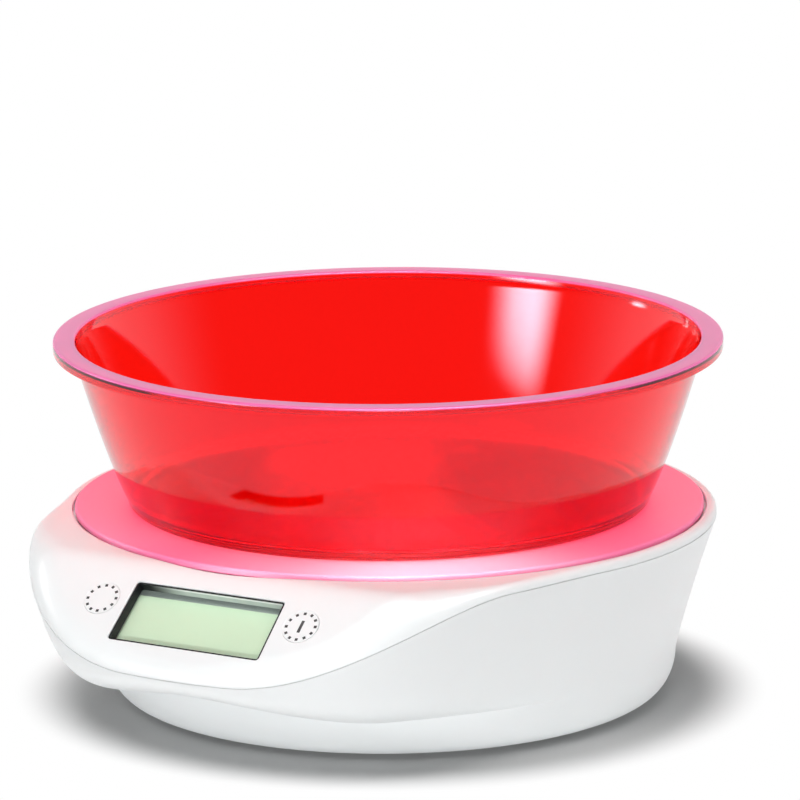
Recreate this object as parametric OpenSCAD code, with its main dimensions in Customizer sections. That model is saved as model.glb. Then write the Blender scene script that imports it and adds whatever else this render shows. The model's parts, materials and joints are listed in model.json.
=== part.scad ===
// Electronic kitchen scale: a round weighing platform in a white two-shell
// housing with a sloping display brow, and a clear mixing bowl that stands on it.
// The front of the scale faces -Y, up is +Z, and the table is at z = 0.
// The origin is the middle of the whole object's footprint.

/* [Platform] */
// Radius of the round weighing platform
platform_r = 100; // [98:0.5:102]
// Height of the platform's top face above the table
scale_h = 62; // [61:0.5:64]
// Thickness of the platform's plate
plate_t = 2.4; // [2:0.1:2.8]
// How far the platform sinks under its full load
sink = 0.6; // [0.2:0.1:0.8]
// Depth of the ribs under the platform
plate_rib_h = 4.6; // [3:0.1:4.8]
// Number of radial ribs under the platform
plate_ribs = 12; // [6:1:16]

/* [Housing] */
// Radial gap between the platform and the rim
rim_gap = 0.8; // [0.6:0.1:1.2]
// Width of the rim round the platform
rim_w = 3.2; // [3:0.1:4]
// How far the rim lies below the platform's top
rim_drop = 1.2; // [0.8:0.1:1.6]
// Height of the ridge between the cover and the side wall, at the back
ridge_side_z = 58.5; // [58:0.1:58.8]
// Radius of the underside, where the side wall turns in
base_r = 82.6; // [80:0.1:85]
// Width of the rounded bottom corner
corner_w = 8.5; // [6:0.5:10]
// Height of the rounded bottom corner
corner_h = 12.5; // [8:0.5:14]
// Exponent of the side wall's outward flare
side_flare = 1.15; // [1:0.05:1.5]
// Wall thickness of the two shells
wall_t = 2.2; // [1.8:0.1:2.4]
// Thickness of the lower shell's floor
floor_t = 2.2; // [2:0.1:3]
// Hairline between the two shells
part_gap = 0.1; // [0.05:0.05:0.3]
// Height of the cover's straight edge between the ridge and the hairline
lip_h = 0.6; // [0.4:0.1:1.5]

/* [Brow] */
// How far the display brow reaches out past the rim
brow_reach = 27; // [25:0.5:30]
// Height of the brow's ridge at the middle of the front
brow_lip_z = 33.8; // [33:0.1:35.5]
// Slope of the display panel
panel_tilt = 39; // [38:0.5:40]
// Angle from the front up to which the brow keeps its full reach
brow_flat_a = 15; // [12:1:20]
// Angle from the front at which the brow has run into the rim
brow_end_a = 70; // [64:1:80]
// Angle from the front up to which the ridge stays low
lip_flat_a = 8; // [6:1:10]
// Angle from the front at which the ridge has climbed to the rim
lip_end_a = 50; // [48:1:56]
// Height at which the chin under the brow leaves the side wall
chin_z = 23; // [20:0.5:24]
// How much lower the chin starts at the brow's two ends
chin_drop = 7; // [4:0.5:8]

/* [Display and keys] */
// Width of the display opening at its upper edge
window_top_w = 53; // [50:0.5:53.5]
// Width of the display opening at its lower edge
window_low_w = 54; // [50:0.5:54]
// Corner radius of the display opening
window_r = 1.2; // [0.6:0.1:2]
// Distance down the slope from the platform's edge to the opening
window_s = 7.9; // [7.5:0.1:8.5]
// Height of the display opening along the slope
window_h = 22.4; // [20:0.1:23]
// Distance of each key from the middle of the panel
key_x = 35.6; // [35.4:0.1:36]
// Distance of the keys down the slope from the platform's edge
key_s = 16; // [15:0.1:17]
// Radius of a key's round face
key_r = 5.8; // [5:0.1:5.9]
// Travel of a key
key_travel = 0.6; // [0.3:0.1:0.7]

/* [Feet and screws] */
// Height of the feet below the floor
foot_h = 1.5; // [1:0.1:2.5]
// Radius of a rubber foot
foot_r = 6; // [5:0.5:8]
// How far inside the underside's radius the feet stand
foot_inset = 16.6; // [14.6:0.5:22]
// How far inside the underside's radius the housing screws stand
post_inset = 10.6; // [9.6:0.5:11.6]
// Angle of the housing screws from the front and from the back
post_a = 20; // [16:1:24]
// Radius of a housing screw's shank
screw_r = 1.5; // [1.2:0.1:1.7]

/* [Load cell] */
// Length of the load cell
cell_l = 76; // [70:1:80]
// Width and height of the load cell
cell_w = 12.7; // [12:0.1:14]
// Height of the pedestal's top, which carries the load cell
pedestal_z = 22; // [20:0.5:22.5]
// Thickness of the spacers above and below the load cell
spacer_t = 3; // [2:0.1:3.5]
// Thickness of the platform's steel carrier
carrier_t = 3; // [2:0.1:3.5]

/* [Batteries] */
// Diameter of a battery cell
battery_d = 10.5; // [10:0.1:11]
// Length of a battery cell with its button
battery_l = 44.5; // [43:0.1:46]
// Distance of the first battery from the axis, towards the back
battery_y = 29.4; // [28:0.1:31]
// Thickness of the battery door
door_t = 1.8; // [1.5:0.1:2]

/* [Bowl] */
// Outer radius of the bowl's rim
bowl_rim_r = 106; // [104:0.5:108]
// Width of the bowl's flat rim
bowl_rim_w = 7; // [6:0.5:8]
// Height of the bowl
bowl_h = 53.5; // [48:0.5:62]
// Radius that the bowl's side would have at its bottom
bowl_base_r = 81.6; // [78:0.1:84]
// Wall thickness of the bowl
bowl_t = 2; // [1.6:0.1:2.6]
// Exponent of the bowl's curved side
bowl_curve = 0.8; // [0.7:0.05:1]

/* [Hidden] */

// Sections round the housing, and rows along each section
sections = 96;
corner_rows = 5;
chin_rows = 8;
top_rows = 5;
edge_rows = 4;
under_rows = 4;

// Overlap of joined shapes, and clearances between pieces
lap = 0.2;
floor_lap = 1.5;
fit_gap = 0.2;
clear = 0.3;
tongue_gap = 0.3;
hole_gap = 0.3;
pilot_gap = 0.05;
well_gap = 0.6;

// Chamfer of the rim, rounding of the panel's upper edge, and the chin's curves
rim_chamfer = 0.6;
panel_soften = 3;
chin_spread = 30;
chin_round = 2.2;
chin_round_gain = 0.7;

// Housing heights and radii worked out from the sizes above
rim_in = platform_r + rim_gap;
rim_r = rim_in + rim_w;
rim_z = scale_h - rim_drop;
brow_r = rim_r + brow_reach;
axis_y = (brow_r - bowl_rim_r) / 2;
corner_z = foot_h + corner_h;
floor_z = foot_h + floor_t;
shelf_z = ridge_side_z - 1.2;
parting_z = ridge_side_z - lip_h - part_gap;
shelf_top = scale_h - plate_t - sink - clear;
ring_r = base_r - 4.6;
foot_ring_r = base_r - foot_inset;
post_ring_r = base_r - post_inset;

// Spill well under the platform
well_r = platform_r - 5;
well_in = post_ring_r - 6;
well_wall = 1.8;
well_z = scale_h - plate_t - plate_rib_h - sink - 2.4;
well_lip_w = 1.6;
well_lip_h = 2;

// Ribs on the floor, and the pedestal with its gussets
floor_rib_t = 1.4;
floor_rib_h = 4;
floor_rib_in = ring_r - 26;
side_rib_x = 60;
side_rib_l = 60;
pedestal_wall = 2;
gusset_t = 1.6;
gusset_h = 9;
gusset_w = 48;
gusset_reach = 14;

// Posts and screws that hold the shells together
post_r = 4.2;
post_top = 38;
post_seat = 26;
head_r = 2.8;
head_h = 2.2;
screw_bite = 4.5;
plate_bite = 8;
foot_seat = 0.8;
foot_bevel = 0.4;

// Load cell stack
cell_z = pedestal_z + spacer_t;
cell_top = cell_z + cell_w;
carrier_z = cell_top + spacer_t;
carrier_top = carrier_z + carrier_t;
cell_seat_t = 4;
cell_bore_x = 5.5;
cell_bore_r = cell_w * 0.4;
cell_slot_h = 2;
cell_hole_end = 5;
potting_t = 1.2;
potting_l = 24;
potting_x = -8;
potting_corner = 3;
pad_corner = 1.5;
cell_hole_pitch = 10;
end_x = cell_l / 2 - cell_hole_end - cell_hole_pitch / 2;
pad_l = cell_hole_pitch + 2 * cell_hole_end;
m4_r = 2;
m4_head_r = 3.5;
m4_head_h = 2.8;
m4_bite = 9;
carrier_l = 96;
carrier_w = 44;
carrier_hole_x = 38;
carrier_hole_y = 14;
carrier_corner = 6;
carrier_cut_xs = [-26, 2];
carrier_cut_r = 8;

// Edge, ribs and bosses of the platform
plate_edge = 0.8;
plate_bevel = 0.5;
plate_rib_t = 1.6;
plate_hub_r = 10;
plate_clear_r = 11;
plate_ring_r = well_r - 3;
boss_r = 4.5;

// Battery bay, its contacts and its door
contact_t = 0.4;
spring_l = 3.6;
spring_wire = 0.3;
bump_h = 1.1;
bump_r = 3;
plate_w = 8.8;
plate_h = battery_d * 0.8;
spring_r = 4;
bay_w = battery_l + spring_l + bump_h + 2 * contact_t;
battery_pitch = battery_d + 0.5;
battery_z = foot_h + door_t + 0.9 + battery_d / 2;
bay_wall = 1.6;
bay_frame = 5;
bay_frame_h = 3.4;
barrel_r = 1.5;
pin_r = 1;
pin_gap = 0.06;
pin_l = 1.3;
door_gap = 0.3;
hinge_y = battery_y - 5.4;
hinge_z = foot_h + barrel_r;
bay_y0 = hinge_y - barrel_r - door_gap;
bay_y1 = battery_y + battery_pitch + battery_d / 2 + 0.75;
bay_top = battery_z + battery_d / 2 + 0.5;
ledge_w = 1.5;
ledge_h = 1.1;
ledge_gap = 0.2;
ledge_side = 0.5;
hook_w = 10;
hook_t = 1.1;
hook_h = 1.6;
notch_r = 8;
notch_w = 14;
notch_off = 2.2;
notch_rise = 1.4;
grip_w = 18;
grip_count = 4;
grip_pitch = 1.6;
grip_groove = 0.7;
grip_depth = 0.4;
nub_l = 1;
nub_r = battery_d * 0.18;
tab_w = 3;
tab_z = bay_top + bay_wall + 2.4;

// Display stack, as depths below the panel's face
frame_rise = 0.4;
frame_seat = 2.4;
frame_wall = 0.5;
frame_gap = 0.15;
case_wall = 0.9;
case_slack = 0.1;
window_d = 3.4;
window_t = 0.8;
film_t = 0.25;
glass_t = 2.2;
board_d = 8.4;
board_t = 1.6;
board_w = 90;
board_s0 = 6;
board_s1 = 24;
board_s2 = 32;
board_nose_w = 60;
capacitor_x = 26;
capacitor_s = 12;
capacitor_r = 2.5;
board_bite = 4;
board_head_r = 1.9;
board_head_h = 1.4;
chip_s = 22;
chip_w = 16;
chip_h = 2;
chip_dome_r = 11;
crystal_x = -17;
crystal_s = 24;
crystal_l = 10;
crystal_w = 4.4;
crystal_h = 3.5;
strip_side = 2;
strip_edge = 0.4;
strip_w = 2.2;

// Plug-in sockets of the leads, and the leads' wires
socket_s = 12.5;
socket_x = 9;
socket_h = 4.5;
socket_w = 10;
socket_t = 5;
socket_low = board_d + board_t + socket_h;
lead_gap = 0.15;
lead_drop = 6;
battery_lead_r = 0.6;
cell_lead_r = 1.2;
film_drop = 3.2;
glass_s0 = window_s - 1;
glass_s1 = window_s + window_h + 1;
glass_w = window_low_w + 1.2;

// Keys and switches
key_gap = 0.1;
key_flange_r = 6.5;
key_flange_d = frame_seat + 0.2;
key_flange_t = 0.9;
key_stem_r = 2;
plunger_r = 1.6;
plunger_d = 4.2;
plunger_l = 2;
plunger_gap = 0.1;
switch_w = 6;
switch_d = 5.2;
stud_r = 2.2;
stud_root = 0.6;
stud_x = 42.5;
stud_s = [9, 22];
tap_r = 1;
tap_depth = 4.5;

// Section of the bowl
bowl_neck_r = bowl_rim_r - 6;
bowl_neck_h = bowl_h - 3;
bowl_corner = 2.6;
bowl_fillet = 4;
bowl_floor_t = bowl_t + 0.6;
bowl_flange_t = 2.4;
bowl_lip_h = 3.5;
bowl_round = 0.9;

// Smooth step from 0 to 1
function ease(t) = let (u = min(max(t, 0), 1)) u * u * (3 - 2 * u);

// Lower of two heights, with a rounded change from one to the other
function soft_min(p, q, k) = min(p, q) - pow(max(k - abs(p - q), 0), 2) / (4 * k);

// Radius and height of the ridge between cover and side wall, a degrees from the front
function ridge_r(a) = rim_r + brow_reach * (1 - ease((a - brow_flat_a) / (brow_end_a - brow_flat_a)));
function ridge_z(a) =
    ridge_side_z - (ridge_side_z - brow_lip_z) * (1 - ease((a - lip_flat_a) / (lip_end_a - lip_flat_a)));

// Radius of the plain side wall at height z
function side_r(z) = z < corner_z
    ? base_r + corner_w * sqrt(max(0, 1 - pow((corner_z - z) / corner_h, 2)))
    : base_r + corner_w
        + (rim_r - base_r - corner_w) * pow((z - corner_z) / (parting_z - corner_z), side_flare);

// Point of the chin that swells from the side wall to the parting line, for q from 0 to 90 degrees
function chin_point(a, q) =
    let (
        top = ridge_z(a) - lip_h - part_gap,
        spread = ease(a / chin_spread),
        start = chin_z - chin_drop * spread,
        power = 2 / (chin_round + chin_round_gain * spread),
        z = start + (top - start) * (1 - pow(cos(q), power))
    )
    [side_r(z) + (ridge_r(a) - side_r(top)) * pow(sin(q), power), z];

// Height of the cover's face, level round the platform and sloping down the brow
function face_z(a, r) = soft_min(rim_z, rim_z + (rim_in - r * cos(a)) * tan(panel_tilt), panel_soften);

// Width and depth of the rounded edge that turns the face down to the ridge
function edge_drop(a) = face_z(a, ridge_r(a)) - ridge_z(a);
function edge_w(a) = min(0.7 * (ridge_r(a) - rim_in - rim_chamfer), 3 + 1.2 * (edge_drop(a) - 2.3));
function cover_z(a, r) =
    let (w = edge_w(a), g = min(max((r - ridge_r(a) + w) / w, 0), 1))
    face_z(a, r) - edge_drop(a) * (1 - sqrt(max(0, 1 - g * g)));

// Section of the cover's ring and brow at angle a, as [radius, height] points
function cover_section(a) =
    let (
        R = ridge_r(a),
        w = edge_w(a),
        low = ridge_z(a) - lip_h,
        r1 = rim_in + rim_chamfer,
        r2 = R - w,
        hollow = ease((R - rim_r) / 8),
        ri = rim_in + 0.3 + 1.7 * hollow,
        ro = R - wall_t - tongue_gap,
        under_t = wall_t / cos(panel_tilt)
    )
    concat(
        [[well_in, well_z - well_wall], [well_r + well_wall, well_z - well_wall]],
        [[well_r + well_wall, shelf_z]],
        [for (k = [0:under_rows])
            let (r = ri + (ro - ri) * k / under_rows)
            [r, shelf_z * (1 - hollow) + (cover_z(a, r) - under_t) * hollow]],
        [[ro, low], [R, low]],
        [for (k = [edge_rows:-1:1]) let (r = r2 + w * sin(90 * k / edge_rows)) [r, cover_z(a, r)]],
        [for (k = [top_rows:-1:0]) let (r = r1 + (r2 - r1) * k / top_rows) [r, cover_z(a, r)]],
        [[rim_in, cover_z(a, rim_in) - rim_chamfer], [rim_in, shelf_top]],
        [[well_r, shelf_top], [well_r, well_z], [well_in + well_lip_w, well_z]],
        [[well_in + well_lip_w, well_z + well_lip_h], [well_in, well_z + well_lip_h]]
    );

// Section of the lower housing's wall and chin at angle a
function skirt_section(a) =
    concat(
        [[ring_r, foot_h]],
        [for (k = [0:corner_rows])
            let (q = 90 * k / corner_rows)
            [base_r + corner_w * sin(q), corner_z - corner_h * cos(q)]],
        [for (k = [0:chin_rows]) chin_point(a, 90 * k / chin_rows)],
        [for (k = [chin_rows:-2:0])
            let (q = 90 * k / chin_rows)
            chin_point(a, q) + [-wall_t, floor_t * cos(q)]],
        [for (q = [90, 60, 30])
            [base_r + (corner_w - wall_t) * sin(q), corner_z - (corner_h - floor_t) * cos(q)]],
        [[ring_r, floor_z]]
    );

// Closed ring lofted through one section for every angle from the front
module ring_loft(rings) {
    n = len(rings);
    m = len(rings[0]);
    points = [
        for (i = [0:n - 1])
            let (a = 360 * i / n)
            for (p = rings[i]) [p[0] * sin(a), -p[0] * cos(a), p[1]]
    ];
    faces = [
        for (i = [0:n - 1])
            for (k = [0:m - 1])
                let (
                    j = (i + 1) % n,
                    l = (k + 1) % m,
                    p = i * m + k,
                    q = i * m + l,
                    s = j * m + l,
                    t = j * m + k
                )
                each [[p, q, s], [p, s, t]]
    ];
    polyhedron(points = points, faces = faces, convexity = 8);
}

// Angle from the front, folded so that left and right are alike
function fold(a) = a > 180 ? 360 - a : a;

// Smooth curve through the given points, with n steps between each two
function smooth_path(p, n) = [
    for (i = [0:len(p) - 2])
        for (k = [0:n - (i == len(p) - 2 ? 0 : 1)])
            let (
                t = k / n,
                a = i == 0 ? 2 * p[0] - p[1] : p[i - 1],
                b = p[i],
                c = p[i + 1],
                d = i == len(p) - 2 ? 2 * p[i + 1] - p[i] : p[i + 2],
                bend = 2 * a - 5 * b + 4 * c - d,
                twist = 3 * b - a - 3 * c + d
            )
            b + 0.5 * t * (c - a + t * (bend + t * twist))
];

// Round wire of radius r along a path that never runs along X
module wire(path, r, sides = 8) {
    n = len(path);
    along = [
        for (i = [0:n - 1])
            let (d = path[min(i + 1, n - 1)] - path[max(i - 1, 0)])
            d / norm(d)
    ];
    points = [
        for (i = [0:n - 1])
            let (
                side = cross(along[i], [1, 0, 0]),
                u = side / norm(side),
                v = cross(along[i], u)
            )
            for (k = [0:sides - 1])
                path[i] + r * (cos(360 * k / sides) * u + sin(360 * k / sides) * v)
    ];
    faces = concat(
        [[for (k = [0:sides - 1]) k]],
        [[for (k = [sides - 1:-1:0]) (n - 1) * sides + k]],
        [for (i = [0:n - 2])
            for (k = [0:sides - 1])
                let (l = (k + 1) % sides)
                each [
                    [i * sides + k, (i + 1) * sides + l, i * sides + l],
                    [i * sides + k, (i + 1) * sides + k, (i + 1) * sides + l]
                ]]
    );
    polyhedron(points = points, faces = faces, convexity = 4);
}

// Arc of radius r about [x, y], as points
function arc(x, y, r, a0, a1, n) =
    [for (k = [0:n]) let (a = a0 + (a1 - a0) * k / n) [x + r * cos(a), y + r * sin(a)]];

// Places on the axis of the round housing
module on_axis() {
    translate([0, axis_y, 0]) children();
}

// Panel coordinates: x across, y up the slope, z out of the panel's face
module on_panel() {
    translate([0, axis_y - rim_in, rim_z]) rotate([panel_tilt, 0, 0]) children();
}

// Flat piece on the panel, from depth d to depth d + t
module layer(d, t) {
    translate([0, 0, -d - t]) linear_extrude(height = t) children();
}

// Round piece on the panel, centred s down the slope
module disc(x, s, d, t, r) {
    translate([x, -s, -d - t]) cylinder(r = r, h = t, $fn = 48);
}

// Rectangle on the panel between two distances down the slope
module slope_rect(w, s0, s1) {
    translate([-w / 2, -s1]) square([w, s1 - s0]);
}

// Corners of an anticlockwise outline, each rounded with radius r in n steps
function rounded(points, r, n = 4) =
    let (m = len(points))
    [for (i = [0:m - 1])
        let (
            p = points[i],
            u = (points[(i + m - 1) % m] - p) / norm(points[(i + m - 1) % m] - p),
            v = (points[(i + 1) % m] - p) / norm(points[(i + 1) % m] - p),
            half = acos(u * v) / 2,
            centre = p + (u + v) / norm(u + v) * r / sin(half),
            start = p + u * r / tan(half) - centre
        )
        for (k = [0:n])
            let (a = (180 - 2 * half) * k / n)
            centre + [start[0] * cos(a) - start[1] * sin(a), start[0] * sin(a) + start[1] * cos(a)]];

// Outline of the display opening, made smaller all round by inset
module window_outline(inset = 0) {
    t = window_top_w / 2 - inset;
    b = window_low_w / 2 - inset;
    s0 = window_s + inset;
    s1 = window_s + window_h - inset;
    polygon(rounded([[-t, -s0], [-b, -s1], [b, -s1], [t, -s0]], max(window_r - inset, 0.2)));
}

// Outline of the display frame's case, made larger all round by gap
module case_outline(gap = 0) {
    out = case_wall + gap;
    slope_rect(glass_w + 2 * out, glass_s0 - out, glass_s1 + out);
}

// Rectangle with rounded corners, centred
module round_rect(w, h, r) {
    square([w - 2 * r, h], center = true);
    square([w, h - 2 * r], center = true);
    for (x = [-1, 1], y = [-1, 1])
        translate([x * (w / 2 - r), y * (h / 2 - r)]) circle(r = r, $fn = 32);
}

// Places of the four housing screws
module at_posts() {
    for (a = [post_a, 180 - post_a, 180 + post_a, 360 - post_a])
        translate([post_ring_r * sin(a), -post_ring_r * cos(a), 0]) children();
}

// Places of the four feet
module at_feet() {
    for (a = [45:90:315]) rotate([0, 0, a]) translate([foot_ring_r, 0, 0]) children();
}

// Pan-head screw that points up from z = 0, with its head below
module pan_screw(r, l, hr, hh) {
    crown = hh * 0.44;
    slot_l = hr * 1.1;
    slot_w = hr * 0.25;
    difference() {
        union() {
            cylinder(r = r, h = l, $fn = 32);
            translate([0, 0, -hh]) cylinder(r1 = hr * 0.8, r2 = hr, h = crown, $fn = 32);
            translate([0, 0, crown - hh]) cylinder(r = hr, h = hh - crown, $fn = 32);
        }
        for (q = [0, 90])
            rotate([0, 0, q]) translate([-slot_l / 2, -slot_w / 2, -hh - 1])
                cube([slot_l, slot_w, 1 + hh / 2]);
    }
}

// Lower housing: side wall with the chin, floor, posts, pedestal and battery bay
module lower_housing() {
    color("white") on_axis() {
        ring_loft([for (i = [0:sections - 1]) skirt_section(fold(360 * i / sections))]);
        difference() {
            union() {
                translate([0, 0, foot_h]) cylinder(r = ring_r + floor_lap, h = floor_t, $fn = 96);
                at_posts() translate([0, 0, foot_h])
                    cylinder(r = post_r, h = post_top - part_gap - foot_h, $fn = 48);
                floor_ribs();
                pedestal();
                bay_shell();
            }
            at_posts() {
                cylinder(r = head_r + well_gap, h = post_seat, $fn = 48);
                cylinder(r = screw_r + hole_gap, h = post_top + 1, $fn = 48);
            }
            at_feet() cylinder(r = foot_r + fit_gap, h = foot_h + foot_seat, $fn = 48);
            for (x = [-end_x - cell_hole_pitch / 2, -end_x + cell_hole_pitch / 2])
                translate([x, 0, 0]) {
                    cylinder(r = m4_head_r + well_gap, h = pedestal_z - cell_seat_t, $fn = 48);
                    cylinder(r = m4_r + hole_gap, h = pedestal_z + 1, $fn = 48);
                }
            bay_cuts();
        }
        door_ledge();
    }
}

// Stiffening ribs on the floor
module floor_ribs() {
    h = floor_t + floor_rib_h;
    for (a = [45, 90, 135, 225, 270, 315])
        rotate([0, 0, a]) translate([-floor_rib_t / 2, floor_rib_in, foot_h])
            cube([floor_rib_t, ring_r - floor_rib_in, h]);
    for (x = [-side_rib_x, side_rib_x])
        translate([x - floor_rib_t / 2, -side_rib_l / 2, foot_h]) cube([floor_rib_t, side_rib_l, h]);
}

// Pedestal under the fixed end of the load cell, with its two gusset ribs
module pedestal() {
    w = cell_w + 2 * pedestal_wall;
    translate([-end_x - pad_l / 2, -w / 2, foot_h]) cube([pad_l, w, pedestal_z - foot_h]);
    translate([-end_x - gusset_t / 2, -gusset_w / 2, foot_h]) cube([gusset_t, gusset_w, gusset_h]);
    translate([-end_x - pad_l / 2 - gusset_reach, -gusset_t / 2, foot_h])
        cube([gusset_reach + 1, gusset_t, gusset_h]);
}

// Outer form of the battery bay
module bay_shell() {
    w = bay_w + 2 * bay_wall;
    translate([-w / 2, bay_y0 - bay_wall, foot_h])
        cube([w, bay_y1 - bay_y0 + 2 * bay_wall, bay_top + bay_wall - foot_h]);
    translate([-bay_w / 2 - bay_frame, bay_y0 - bay_frame, foot_h])
        cube([bay_w + 2 * bay_frame, bay_y1 - bay_y0 + 2 * bay_frame, bay_frame_h]);
}

// Bay's inside, its hinge sockets, the slots for the solder tabs and the finger notch
module bay_cuts() {
    translate([-bay_w / 2, bay_y0, 0]) cube([bay_w, bay_y1 - bay_y0, bay_top]);
    socket_l = bay_w + 2 * (pin_l + fit_gap);
    translate([-socket_l / 2, hinge_y, hinge_z])
        rotate([0, 90, 0]) cylinder(r = pin_r + pin_gap, h = socket_l, $fn = 32);
    for (y = [battery_y, battery_y + battery_pitch])
        translate([bay_w / 2 - contact_t - fit_gap, y - tab_w / 2 - fit_gap, bay_top - 1])
            cube([contact_t + fit_gap, tab_w + 2 * fit_gap, bay_wall + 2]);
    translate([-notch_w / 2, bay_y1 + notch_off, foot_h + notch_rise - notch_r])
        rotate([0, 90, 0]) cylinder(r = notch_r, h = notch_w, $fn = 64);
}

// Ledge on which the battery door's free edge stops
module door_ledge() {
    translate([-bay_w / 2 - ledge_side, bay_y1 - ledge_w, foot_h + door_t + ledge_gap])
        cube([bay_w + 2 * ledge_side, ledge_w + ledge_side, ledge_h]);
}

// Upper cover: rim, brow with the display panel, spill well, posts and studs
module upper_cover() {
    color("white") {
        difference() {
            on_axis() ring_loft([for (i = [0:sections - 1]) cover_section(fold(360 * i / sections))]);
            on_panel() {
                translate([0, 0, -12]) linear_extrude(height = 24) window_outline();
                layer(frame_seat, board_d - frame_seat) case_outline(frame_gap);
                for (x = [-key_x, key_x]) disc(x, key_s, -6, 16, key_r + key_gap);
            }
        }
        on_axis() at_posts() difference() {
            translate([0, 0, post_top]) cylinder(r = post_r, h = well_z - well_wall / 2 - post_top, $fn = 48);
            translate([0, 0, post_top - 1]) cylinder(r = screw_r + pilot_gap, h = 3 + screw_bite, $fn = 48);
        }
        on_panel()
            for (x = [-stud_x, stud_x], s = stud_s) difference() {
                disc(x, s, wall_t - stud_root, board_d - wall_t + stud_root, stud_r);
                disc(x, s, board_d - tap_depth, tap_depth + 1, tap_r + pilot_gap);
            }
    }
}

module rubber_feet() {
    color("dimgray") on_axis() at_feet() {
        cylinder(r1 = foot_r - foot_bevel, r2 = foot_r, h = foot_bevel, $fn = 48);
        translate([0, 0, foot_bevel]) cylinder(r = foot_r, h = foot_h + foot_seat - foot_bevel, $fn = 48);
    }
}

module housing_screws() {
    color("silver") on_axis() at_posts()
        translate([0, 0, post_seat]) pan_screw(screw_r, post_top - post_seat + screw_bite, head_r, head_h);
}

// Battery door with its hinge barrel, two pins and the latch tongue
module battery_door() {
    w = bay_w - 2 * door_gap;
    color("white") on_axis() {
        difference() {
            union() {
                translate([-w / 2, hinge_y, foot_h]) cube([w, bay_y1 - door_gap - hinge_y, door_t]);
                translate([-w / 2, hinge_y, hinge_z])
                    rotate([0, 90, 0]) cylinder(r = barrel_r, h = w, $fn = 32);
            }
            for (k = [1:grip_count])
                translate([-grip_w / 2, bay_y1 - notch_off - (k - 0.25) * grip_pitch, foot_h - 1])
                    cube([grip_w, grip_groove, 1 + grip_depth]);
        }
        translate([-w / 2 - pin_l, hinge_y, hinge_z])
            rotate([0, 90, 0]) cylinder(r = pin_r, h = w + 2 * pin_l, $fn = 32);
        translate([-hook_w / 2, bay_y1 - ledge_w - door_gap - hook_t, foot_h + door_t - lap])
            cube([hook_w, hook_t, hook_h + lap]);
    }
}

// One battery cell along X, with its plain end at x = 0
module battery() {
    rotate([0, 90, 0]) {
        cylinder(r = battery_d / 2, h = battery_l - nub_l, $fn = 64);
        cylinder(r = nub_r, h = battery_l, $fn = 48);
    }
}

// Places for the two batteries: the second one is turned round
module at_batteries() {
    for (i = [0, 1])
        translate([0, battery_y + i * battery_pitch, battery_z]) rotate([0, 0, 180 * i]) children();
}

module battery_cells() {
    color("gold") on_axis() at_batteries() translate([-bay_w / 2 + contact_t + spring_l, 0, 0]) battery();
}

// Cone-shaped contact spring, wound from the plate to the battery's plain end
module contact_springs() {
    turns = 3.5;
    steps = 56;
    run = spring_l - 2 * spring_wire;
    color("silver") on_axis() at_batteries()
        translate([-bay_w / 2 + contact_t + spring_wire, 0, 0])
            wire([for (k = [0:steps])
                let (t = k / steps, r = spring_r * (1 - 0.45 * t), q = 360 * turns * t)
                [run * t, r * cos(q), r * sin(q)]], spring_wire);
}

// Raised bump of a contact plate, which meets a battery's button
module contact_bump() {
    cylinder(r1 = bump_r, r2 = bump_r * 0.75, h = bump_h, $fn = 32);
}

// Contact plates: one joins both batteries, the other two carry the solder tabs
module contact_plates() {
    color("silver") on_axis() {
        translate([-bay_w / 2, battery_y - plate_w / 2, battery_z - plate_h / 2])
            cube([contact_t, battery_pitch + plate_w, plate_h]);
        translate([-bay_w / 2 + contact_t, battery_y + battery_pitch, battery_z])
            rotate([0, 90, 0]) contact_bump();
        for (i = [0, 1]) translate([bay_w / 2 - contact_t, battery_y + i * battery_pitch, battery_z]) {
            translate([0, -plate_w / 2, -plate_h / 2]) cube([contact_t, plate_w, plate_h]);
            translate([0, -tab_w / 2, 0]) cube([contact_t, tab_w, tab_z - battery_z]);
        }
        translate([bay_w / 2 - contact_t, battery_y, battery_z]) rotate([0, -90, 0]) contact_bump();
    }
}

// Point on the panel's axes, in housing coordinates
function panel_point(x, s, d) = [
    x,
    -rim_in - s * cos(panel_tilt) + d * sin(panel_tilt),
    rim_z - s * sin(panel_tilt) - d * cos(panel_tilt)
];

// Two leads from the battery contacts to the board
module battery_leads() {
    tab_x = bay_w / 2 - contact_t - battery_lead_r - 0.05;
    color("firebrick") on_axis()
        for (i = [0, 1])
            wire(smooth_path([
                [tab_x, battery_y + i * battery_pitch, tab_z - 0.4],
                [tab_x, battery_y + i * battery_pitch - 3, tab_z + 2 + i * 3],
                [24 - i * 2, 17, 17 + i * 3],
                [18 - i * 2, 0, 11],
                [15 - i * 2, -30, 9],
                [13 - i * 2, -62, 12],
                [11 - i * 2, -84, 25],
                panel_point(socket_x + 1 - i * 2, socket_s, socket_low + lead_drop),
                panel_point(socket_x + 1 - i * 2, socket_s, socket_low + lead_gap)
            ], 5), battery_lead_r);
}

// Screened lead from the strain gauges to the board
module cell_lead() {
    color("lightgray") on_axis()
        wire(smooth_path([
            [potting_x, -cell_w / 2 - potting_t - lead_gap, cell_z + cell_w / 2],
            [potting_x, -cell_w / 2 - 4, cell_z + cell_w / 2 - 0.6],
            [-8.5, -cell_w / 2 - 7, cell_z - 3],
            [-9, -22, 13],
            [-10, -45, 9],
            [-10, -68, 13],
            [-9.5, -85, 25],
            panel_point(-socket_x, socket_s, socket_low + lead_drop),
            panel_point(-socket_x, socket_s, socket_low + lead_gap)
        ], 5), cell_lead_r);
}

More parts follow.
